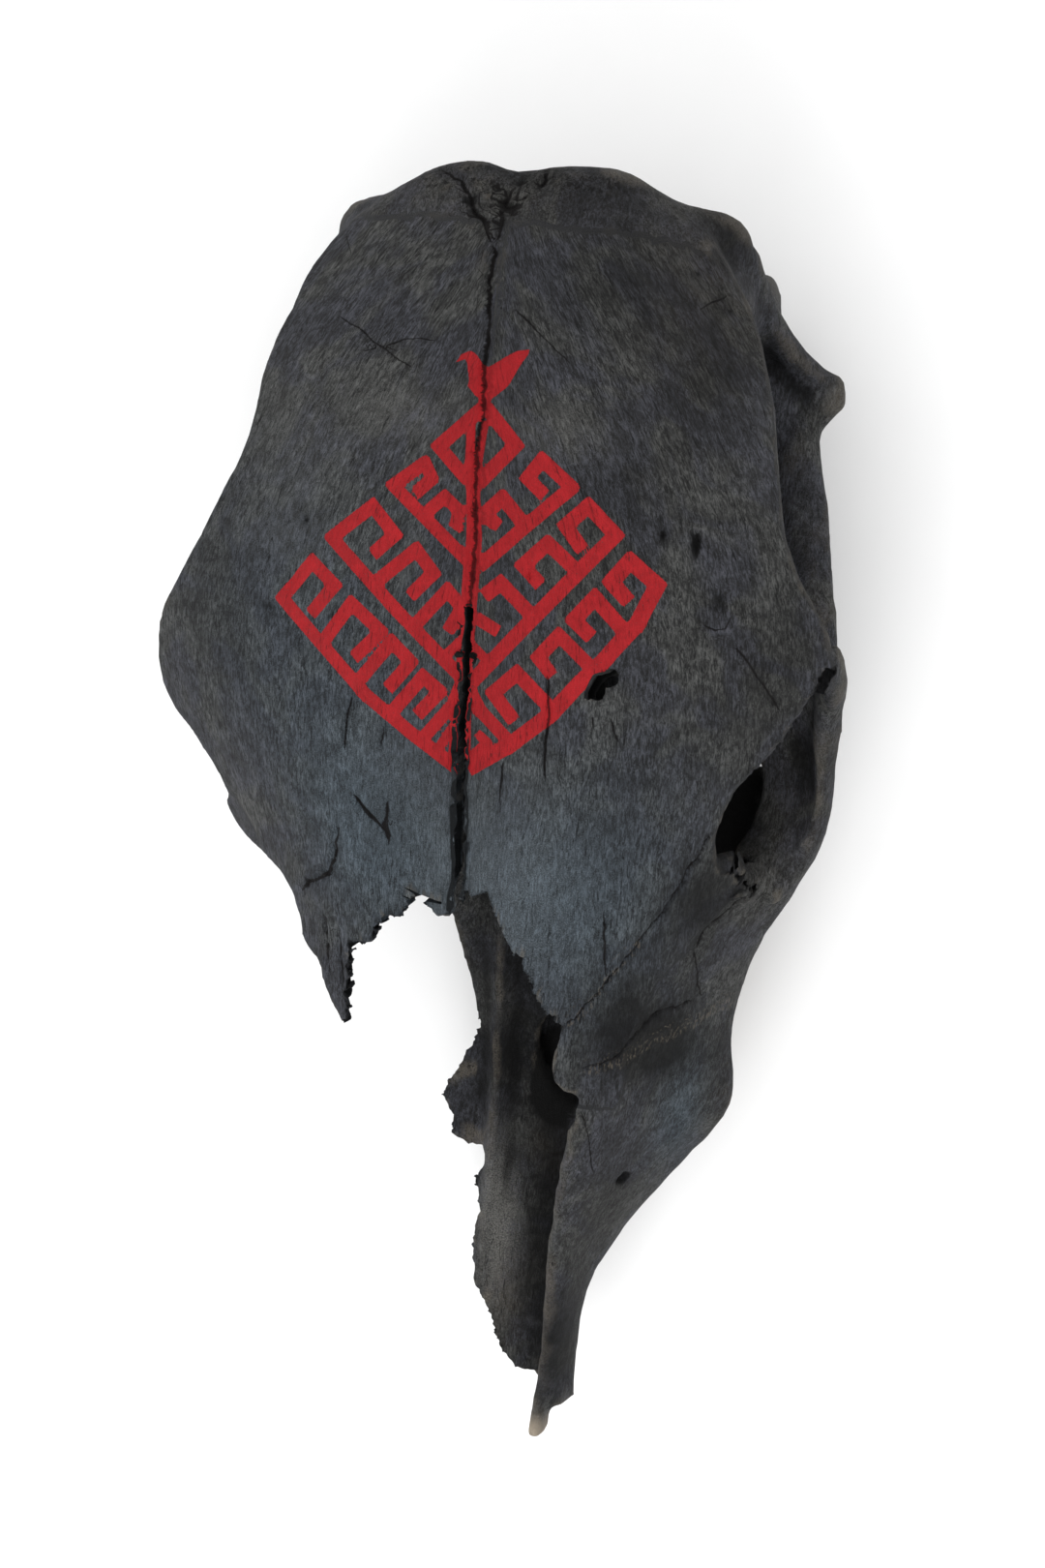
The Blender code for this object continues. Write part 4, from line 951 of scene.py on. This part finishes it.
def inside_outline(x, y, outline):
    """Return how deep each place lies inside a closed outline; outside is negative."""
    nearest = np.full(len(x), 50.0)
    odd = np.zeros(len(x), bool)
    for (ax, ay), (bx, by) in zip(outline, outline[1:] + outline[:1]):
        share = np.clip(((x - ax) * (bx - ax) + (y - ay) * (by - ay)) / ((bx - ax) ** 2 + (by - ay) ** 2), 0, 1)
        nearest = np.minimum(nearest, np.hypot(x - ax - share * (bx - ax), y - ay - share * (by - ay)))
        crosses = ((ay > y) != (by > y)) & (x < (bx - ax) * (y - ay) / (by - ay + 1e-12) + ax)
        odd ^= crosses
    return np.where(odd, nearest, -nearest)


def ornament(points, share):
    """Return for each point how deep it lies inside the painted ornament."""
    x, y = points[:, 0], points[:, 1]
    depth = np.maximum(inside_outline(x, y, LEFT_HORN), inside_outline(x, y, RIGHT_HORN))
    for width, corners in LEFT_STROKES + RIGHT_STROKES:
        depth = np.maximum(depth, inside_stroke(x, y, width, corners))
    return np.where(share > 0.05, np.clip(depth, NOT_PAINTED, -NOT_PAINTED), NOT_PAINTED)


paint_depth = ornament(skin_points, share)
print("painted points:", int((paint_depth > 0).sum()))

# %% [markdown]
# ## Grain and tone
# ## Grain, tone and painted light
# Bone fibres fan out from the poll and run straight down the lower forehead. The grain is stored as a
# place in a plane that is bent with the fibres: across, along and depth. Long thin noise in that plane
# then lies along the fibres everywhere. Worn edges are found from the shape itself: where the neighbours
# of a point lie behind it, the skin bends outwards; where they lie in front, it bends inwards, and there
# the material paints shade. Soft spots hold stains, and also painted shade, painted shadow and sheen.

# %% Grain, wear, stains and painted light and shade of the skin
FAN_WIDTH = 20.0
FAN_SLOPE = [(-100, 0.10), (-40, 0.04), (10, 0.0), (50, -0.12), (90, -0.40), (130, -0.62), (165, -0.75), (190, -0.8)]
# Soft spots of colour: stains, and painted shade, painted shadow, painted highlights and painted sheen
SOFT_SPOTS = {  # name: centre, reach and amount of each soft spot, in millimetres
    # blue: bluish tint of the bone, with a painted sheen on the lower forehead and the cheek
    "blue_tint_and_sheen": [((30, -20, 130), (36, 44, 30), 1.0), ((-28, -8, 140), (28, 36, 30), 0.9),
        ((-50, 50, 145), (40, 50, 40), 0.5), ((68, -92, 76), (8, 30, 22), 0.9)],
    # pale: bleached bone, with painted highlights on the lower forehead and the rim of the eye socket
    "pale_and_highlight": [((20, -22, 138), (24, 30, 20), 0.8), ((-20, 4, 144), (20, 22, 20), 0.55),
        ((92, 128, 125), (14, 24, 26), 0.5), ((-24, 118, 178), (16, 9, 12), 0.6),
        ((26, 116, 176), (14, 8, 12), 0.55), ((6, -120, 50), (5, 20, 8), 2.8),
        ((9, -138, 47), (4.5, 20, 8), 2.0), ((6, -66, 63), (2.4, 18, 7), 1.1),
        ((109, 24, 88), (4, 34, 12), 0.3), ((-60, 78, 158), (16, 10, 20), 0.3),
        ((-58, 106, 164), (22, 26, 20), 0.35)],
    "brown": [((13, -153, 46), (6, 14, 8), 1.0), ((23, -105, 48), (5, 8, 6), 1.0),
        ((84, -96, 50), (14, 30, 30), 0.6), ((0, 186, 176), (60, 12, 30), 0.25),
        ((60, 160, 160), (20, 30, 20), 0.4), ((90, 10, 95), (16, 30, 22), 0.3)],
    # dark: darker bone, and painted shade in the eye socket band, the nose cavity, below the brow and on the right
    # side
    "dark": [((72, -18, 108), (15, 22, 16), 1.0), ((50, -58, 110), (13, 20, 12), 0.95),
        ((62, -64, 92), (16, 14, 16), 1.3), ((78, -74, 68), (8, 20, 20), 0.5),
        ((50, -118, 78), (12, 26, 20), 0.6), ((36, -165, 66), (10, 30, 24), 1.1),
        ((24, -142, 46), (7, 44, 12), 1.1), ((20, -80, 55), (13, 60, 14), 0.8),
        ((-8, -90, 55), (8, 30, 14), 0.6), ((94, 34, 88), (11, 30, 16), 0.2), ((108, 34, 90), (5, 40, 14), 0.5),
        ((46, 104, 170), (14, 22, 14), 0.32), ((-84, 50, 140), (12, 30, 18), 0.35),
        ((-20, -2, 143), (12, 14, 10), 0.3), ((0, 195, 164), (70, 6, 12), 0.5),
        ((5, -76, 61), (8, 13, 10), 0.8), ((80, 6, 75), (12, 18, 18), 0.7), ((6, -42, 72), (22, 26, 22), 0.7),
        ((92, 50, 140), (14, 34, 16), 0.55), ((40, 162, 177), (24, 18, 12), 0.6),
        ((24, 186, 174), (22, 8, 10), 0.5), ((68, 142, 166), (18, 24, 14), 0.6),
        ((49, 4, 140), (16, 20, 10), 0.2), ((72, 26, 140), (14, 20, 14), 0.25),
        ((62, 186, 140), (12, 16, 24), 0.9), ((38, 80, 165), (12, 30, 12), 0.3)],
    # painted shadow: near black in the nose cavity, the eye socket, the ragged hole, inside the skull and in the brow
    # pits
    "painted_shadow": [((22, -80, 48), (7, 15, 12), 2.2), ((67, 20, 64), (10, 22, 14), 1.4),
        ((42, 44, 146), (8, 8, 6), 1.5), ((30, 10, 90), (60, 50, 30), 0.9),
        ((66.0, 88.6, 155), (1.4, 4.4, 7), 1.0), ((56.5, 90, 160), (1.3, 2.6, 6), 0.9),
        ((75.6, 72.4, 154), (1.2, 1.2, 4), 0.7), ((68.9, 157.9, 161), (1.1, 1.6, 4), 0.8)],
    "tip": [((27.5, -195.5, 47), (3.2, 4.2, 9), 1.5)],
    "crumbs": [((0, 191, 170), (34, 5, 9), 0.5), ((20, 190, 171), (26, 4, 8), 0.5),
        ((-22, 188, 171), (12, 4, 8), 0.6), ((59, 182, 148), (5, 8, 14), 0.8),
        ((66, 160, 163), (5, 5, 8), 0.5)]}


def grain_of(points, share):
    """Return each point's place across, along and under the fibres."""
    x, y, z = points.T
    away = x - SEAM_X
    drop = np.maximum(curve_through(FOREHEAD_HEIGHT, y - SEAM_Y) - z, 0)
    arc = np.hypot(away, drop)
    rows = np.arange(-110.0, 200.0, 1.0)
    turned = np.concatenate([[0], np.cumsum(curve_through(FAN_SLOPE, rows[:-1]))])
    fanned = FAN_WIDTH * np.log(np.sinh((arc + 6) / FAN_WIDTH)) - np.interp(y - SEAM_Y, rows, turned)
    top = np.stack([np.where(away < 0, -40 - fanned, 40 + fanned), y, np.zeros(len(x))], axis=1)
    return np.where((share > 0.05)[:, None], top, points + 300)


def soft_spots_of(points, name):
    """Return the sum of the named soft spots at each point."""
    total = np.zeros(len(points))
    for centre, reach, amount in SOFT_SPOTS[name]:
        total += amount * soft_spot_at(points, centre, reach)
    return total


FULL_BEND = 0.25  # millimetres that count as fully worn or fully hollow


def bend_of(points, triangles, edges, rounds=3):
    """Return how strongly the skin bends outwards at each point."""
    normals = normals_of(points, triangles)
    bend = ((points - neighbour_mean(points, edges)) * normals).sum(axis=1)
    for _ in range(rounds):
        bend = 0.5 * bend + 0.5 * neighbour_mean(bend[:, None], edges)[:, 0]
    return np.clip(bend / FULL_BEND, -1, 1)


low, high = (np.array(corner) / MM for corner in CAD_BOX)
skin_points = np.clip(skin_points, low + 0.01, high - 0.01)
SHARP_ANGLE = 0.9
bone_mesh = mesh_from("skull_bone", skin_points, skin_triangles)
bone_mesh.set_sharp_from_angle(angle=SHARP_ANGLE)


def store(mesh, name, values):
    """Store one number, or three, at each point of a mesh."""
    kind = "FLOAT" if values.ndim == 1 else "FLOAT_VECTOR"
    made = mesh.attributes.new(name, kind, "POINT")
    made.data.foreach_set("value" if values.ndim == 1 else "vector", values.astype(np.float32).ravel())


kept_numbers = {
    "grain": grain_of(skin_points, share), "paint": paint_depth, "seam_side": seam_side, "seam_width": seam_width,
    "crack_side": crack_side, "crack_width": crack_width, "fleck_side": fleck_side, "fleck_width": fleck_width,
    "wear_and_hollow_shade": bend_of(skin_points, skin_triangles, skin_edges)}
kept_numbers.update({name: soft_spots_of(skin_points, name) for name in SOFT_SPOTS})
for name, values in kept_numbers.items():
    store(bone_mesh, name, values)
bone.data = bone_mesh
bone.name = "skull_bone"
print("bone carries", len(bone_mesh.attributes), "attributes")

# %% [markdown]
# ## Weathered bone
#
# The dark bone is matt, with hair-fine fibres, thin dark slits between them, pale grains and broad cloudy
# stains. One noise drawn out along the grain gives the fibres, a second the slits, and soft ones the
# clouds. The same fibres lift the surface by a bump, so that colour and relief agree. Paint fills the
# slits, hides the fibre colour and leaves some pores bare.
# Soft spots darken the hollows, the eye socket and the nose cavity with painted shade and shadow, and lay a painted
# bluish sheen and pale highlights on the lower forehead and the cheek.

# %% The material of the bone and its paint


def drawn_noise(tree, place, stretch, scale, detail, rough, twist):
    """Return a noise drawn out along the grain."""
    drawn = add(tree, "ShaderNodeMapping", {"Vector": place, "Scale": (1.0, stretch, 1.0)}).outputs[0]
    return noise_at(tree, drawn, scale, detail, rough, twist)
TONES = {  # linear red, green and blue
    "dark_bone": (0.012, 0.012, 0.012, 1), "dark_blue_bone": (0.012, 0.016, 0.020, 1),
    "warm_grey": (0.128, 0.130, 0.126, 1), "cool_grey": (0.117, 0.121, 0.145, 1),
    # chalk and blue_chalk_and_sheen: pale bleached bone, and the painted highlight and sheen of the lower forehead
    "blue_grey": (0.120, 0.156, 0.190, 1), "dimmed": (0.72, 0.72, 0.72, 1), "chalk_and_highlight": (0.23, 0.225, 0.21, 1),
    "blue_chalk_and_sheen": (0.24, 0.28, 0.31, 1), "earth": (0.075, 0.058, 0.040, 1), "raw_tip": (0.62, 0.52, 0.40, 1),
    "worn": (0.20, 0.175, 0.14, 1), "slit": (0.006, 0.006, 0.007, 1), "crevice": (0.006, 0.005, 0.005, 1),
    "fleck": (0.20, 0.17, 0.13, 1), "painted_shadow": (0.002, 0.002, 0.002, 1), "fresh_red": (0.45, 0.014, 0.019, 1),
    "dull_red": (0.33, 0.010, 0.014, 1), "red_in_fibres": (0.20, 0.004, 0.006, 1),
    "deep_seam": (0.004, 0.003, 0.003, 1), "red_seam": (0.085, 0.003, 0.004, 1)}


def weathered_bone():
    """Build the material of the dark bone with its painted ornament."""
    material, tree, shader = new_material("weathered_bone")
    place = attribute(tree, "grain", "Vector")
    fibre = drawn_noise(tree, place, 0.27, 1.25, 6.0, 0.92, 0.6)
    slit = drawn_noise(tree, place, 0.11, 1.05, 4.0, 0.68, 1.5)
    streak = drawn_noise(tree, place, 0.30, 0.34, 5.0, 0.72, 0.7)
    speck = noise_at(tree, place, 2.2, 4.0, 0.75)
    cloud = noise_at(tree, place, 0.045, 3.0, 0.55, 0.6)
    patch = noise_at(tree, place, 0.15, 6.0, 0.72, 0.6)
    blue_tint_and_sheen, dark_stain_and_shade, painted_shadow = (attribute(tree, name) for name in ("blue_tint_and_sheen", "dark", "painted_shadow"))
    slits = ramp(tree, slit, 0.40, 0.31)
    # Brightness: fibres, grains, streaks and patches
    bright = times(tree, ramp(tree, fibre, 0.455, 0.575), 0.70)
    bright = plus(tree, bright, times(tree, ramp(tree, streak, 0.38, 0.66), 0.26))
    bright = times(tree, bright, ramp(tree, patch, 0.34, 0.62, 0.45, 1.15))
    grains = times(tree, ramp(tree, speck, 0.54, 0.68), ramp(tree, blue_tint_and_sheen, 0.2, 0.9, 0.35, 0.8))
    bright = plus(tree, bright, grains)
    # Bluish tint, with a painted sheen on the lower forehead and the cheek
    dark = mixed(tree, blue_tint_and_sheen, TONES["dark_bone"], TONES["dark_blue_bone"])
    light = mixed(tree, ramp(tree, cloud, 0.42, 0.58), TONES["warm_grey"], TONES["cool_grey"])
    light = mixed(tree, blue_tint_and_sheen, light, TONES["blue_grey"])
    light = mixed(tree, ramp(tree, cloud, 0.3, 0.7), light, mixed(tree, 1.0, light, TONES["dimmed"], "MULTIPLY"))
    colour = mixed(tree, bright, dark, light)
    # Pale bleached bone, with painted highlights on the lower forehead and the rim of the eye socket
    pale_and_highlight = times(tree, attribute(tree, "pale_and_highlight"), ramp(tree, speck, 0.35, 0.75, 0.05, 0.55))
    colour = mixed(tree, pale_and_highlight, colour, mixed(tree, blue_tint_and_sheen, TONES["chalk_and_highlight"], TONES["blue_chalk_and_sheen"]))
    brown = times(tree, attribute(tree, "brown"), ramp(tree, patch, 0.3, 0.7, 0.1, 0.6))
    colour = mixed(tree, brown, colour, TONES["earth"])
    # Painted shade together with darker bone, from the dark soft spots
    shade = minus(tree, 1.0, times(tree, maths(tree, "MINIMUM", dark_stain_and_shade, 1.0), 0.84))
    # Painted shade in the hollows: darker where the skin bends inwards
    shade = times(tree, shade, ramp(tree, attribute(tree, "wear_and_hollow_shade"), -0.7, -0.1, 0.25, 1.0))
    shade = add(tree, "ShaderNodeCombineColor", {0: shade, 1: shade, 2: shade}).outputs[0]
    colour = mixed(tree, 1.0, colour, shade, "MULTIPLY")
    colour = mixed(tree, times(tree, attribute(tree, "tip"), 0.9), colour, TONES["raw_tip"])
    worn = times(tree, ramp(tree, attribute(tree, "wear_and_hollow_shade"), 0.3, 0.9), ramp(tree, speck, 0.35, 0.65, 0.1, 0.5))
    colour = mixed(tree, worn, colour, TONES["worn"])
    colour = mixed(tree, times(tree, slits, 0.8), colour, TONES["slit"])
    # Crumbled bone at the poll: small black crevices along the grain
    crevice = drawn_noise(tree, place, 0.38, 0.62, 5.0, 0.7, 0.8)
    crumbled = times(tree, ramp(tree, crevice, 0.47, 0.40), ramp(tree, attribute(tree, "crumbs"), 0.2, 0.6))
    colour = mixed(tree, times(tree, crumbled, 0.85), colour, TONES["crevice"])
    # Pale flecks stand like comb teeth across the old cheek seams
    comb = ramp(tree, drawn_noise(tree, place, 0.4, 1.1, 4.0, 0.7, 0.4), 0.50, 0.62)
    inside = minus(tree, attribute(tree, "fleck_width"), maths(tree, "ABSOLUTE", attribute(tree, "fleck_side")))
    flecks = times(tree, times(tree, comb, ramp(tree, inside, -0.3, 0.9)), 0.34)
    colour = mixed(tree, flecks, colour, TONES["fleck"])
    # Painted shadow: near black in the nose cavity, the eye socket, the ragged hole, inside the skull and in the brow
    # pits
    painted_shadow_mask = ramp(tree, plus(tree, painted_shadow, ramp(tree, patch, 0.2, 0.8, -0.15, 0.15)), 0.35, 0.6)
    colour = mixed(tree, times(tree, painted_shadow_mask, 0.95), colour, TONES["painted_shadow"])
    # Paint: a wandering edge, thin places, and pores that stay bare
    edge = plus(tree, attribute(tree, "paint"), ramp(tree, speck, 0.2, 0.8, -0.28, 0.28, smooth=False))
    covered = ramp(tree, edge, -0.06, 0.10)
    pores = ramp(tree, noise_at(tree, place, 1.7, 2.0, 0.6), 0.34, 0.29)
    bare = times(tree, pores, 0.85)
    bare = maths(tree, "MAXIMUM", bare, times(tree, slits, 0.5))
    mask = times(tree, covered, minus(tree, 1.0, bare))
    red = mixed(tree, ramp(tree, patch, 0.3, 0.7), TONES["fresh_red"], TONES["dull_red"])
    red = mixed(tree, times(tree, ramp(tree, fibre, 0.5, 0.3), 0.45), red, TONES["red_in_fibres"])
    colour = mixed(tree, mask, colour, red)
    # Seams and cracks are nearly black inside
    crumble = noise_at(tree, place, 0.9, 4.0, 0.7)
    for name, reach in (("seam", 0.9), ("crack", 0.3)):
        sway = ramp(tree, crumble, 0.2, 0.8, -reach, reach, smooth=False)
        side = plus(tree, attribute(tree, name + "_side"), sway)
        inside = minus(tree, attribute(tree, name + "_width"), maths(tree, "ABSOLUTE", side))
        depth = mixed(tree, times(tree, covered, 0.8), TONES["deep_seam"], TONES["red_seam"])
        colour = mixed(tree, times(tree, ramp(tree, inside, -0.12, 0.18), 0.93), colour, depth)
    tree.links.new(colour, shader.inputs["Base Color"])
    rough = minus(tree, ramp(tree, speck, 0.2, 0.8, 0.70, 0.88), times(tree, mask, 0.2))
    tree.links.new(rough, shader.inputs["Roughness"])
    shader.inputs["Specular IOR Level"].default_value = 0.17
    height = plus(tree, times(tree, fibre, 0.9), times(tree, speck, 0.5))
    height = minus(tree, height, times(tree, slits, 0.9))
    height = plus(tree, height, times(tree, mask, 0.12))
    height = minus(tree, height, times(tree, crumbled, 1.2))
    bump = add(tree, "ShaderNodeBump", {"Height": height, "Strength": 1.0, "Distance": 0.0009})
    tree.links.new(bump.outputs[0], shader.inputs["Normal"])
    return material


weathered = weathered_bone()
bone.data.materials.clear()
bone.data.materials.append(weathered)
print("bone material has", len(weathered.node_tree.nodes), "nodes")

# %% [markdown]
# ## Molars
#
# The three cheek teeth are tall boxes of folded enamel. Their solids are right in size, so the skin is
# made from them in the same way, with upright flutes pressed into the sides and two crescent pits worn
# into the chewing face.

# %% Fine skin and material of the molars


def enamel():
    """Build the material of an old molar: brown stains in creamy enamel, with painted shade in its hollows."""
    material, tree, shader = new_material("old_enamel")
    place = add(tree, "ShaderNodeTexCoord").outputs["Object"]
    upright = add(tree, "ShaderNodeMapping", {"Vector": place, "Scale": (1.0, 1.0, 0.2)}).outputs[0]
    streak = noise_at(tree, upright, 620.0, 3.0, 0.6)
    cloud = noise_at(tree, place, 130.0, 2.0, 0.5)
    colour = mixed(tree, ramp(tree, streak, 0.35, 0.7), (0.10, 0.075, 0.05, 1), (0.34, 0.29, 0.22, 1))
    colour = mixed(tree, ramp(tree, cloud, 0.45, 0.7), colour, (0.05, 0.042, 0.035, 1))
    # Painted shade: darker where the crown bends inwards
    crevice = ramp(tree, attribute(tree, "wear_and_hollow_shade"), 0.05, -0.5)
    colour = mixed(tree, times(tree, crevice, 0.85), colour, (0.012, 0.010, 0.008, 1))
    tree.links.new(colour, shader.inputs["Base Color"])
    tree.links.new(ramp(tree, streak, 0.3, 0.7, 0.32, 0.6), shader.inputs["Roughness"])
    bump = add(tree, "ShaderNodeBump", {"Height": streak, "Strength": 0.8, "Distance": 0.0002})
    tree.links.new(bump.outputs[0], shader.inputs["Normal"])
    return material


TOOTH_VOXEL = 0.8 * MM
TOOTH_SMOOTHING = 5
FLUTE_DEPTH, CRESCENT_DEPTH = 0.45, 1.6  # in millimetres
old_enamel = enamel()
teeth = []
for tooth_name in ("molar_1", "molar_2", "molar_3"):
    tooth = welded_copy(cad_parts[tooth_name].data, tooth_name + "_crown")
    with_modifier(tooth, "REMESH", mode="VOXEL", voxel_size=TOOTH_VOXEL)
    points, triangles = arrays_of(tooth.data)
    edges, _ = edges_of(triangles, len(points))
    points = smoothed(points, edges, TOOTH_SMOOTHING)
    normals = normals_of(points, triangles)
    low, high = points.min(axis=0), points.max(axis=0)
    middle, half = (low + high) / 2, (high - low) / 2
    across, along, up = ((points - middle) / half).T
    side = 1 - np.abs(normals[:, 2])
    flutes = side * (FLUTE_DEPTH - FLUTE_DEPTH * np.cos(4 * np.pi * along + 0.6 * across))
    chewing = normals[:, 2] < -0.5
    crescents = np.zeros(len(points))
    for lobe in (-0.45, 0.45):
        bow = np.abs(np.hypot(across * 1.1 - 0.45, (along - lobe) * 1.6) - 0.62)
        crescents = np.maximum(crescents, np.exp(-(bow / 0.11) ** 2) * (across < 0.5))
    points = points - normals * (flutes + CRESCENT_DEPTH * crescents * chewing)[:, None]
    points = np.clip(points, low, high)
    points[:, 2] = np.maximum(points[:, 2], 0.0)
    crown = mesh_from(tooth_name + "_crown", points, triangles)
    store(crown, "wear_and_hollow_shade", bend_of(points, triangles, edges))
    crown.materials.append(old_enamel)
    tooth.data = crown
    teeth.append((tooth, tooth_name))
    print(tooth_name, "has", len(triangles), "triangles")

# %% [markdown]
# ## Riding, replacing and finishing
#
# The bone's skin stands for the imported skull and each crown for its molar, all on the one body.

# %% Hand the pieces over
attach(bone, "root")
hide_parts("skull")
for tooth, node_name in teeth:
    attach(tooth, "root")
    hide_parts(node_name)
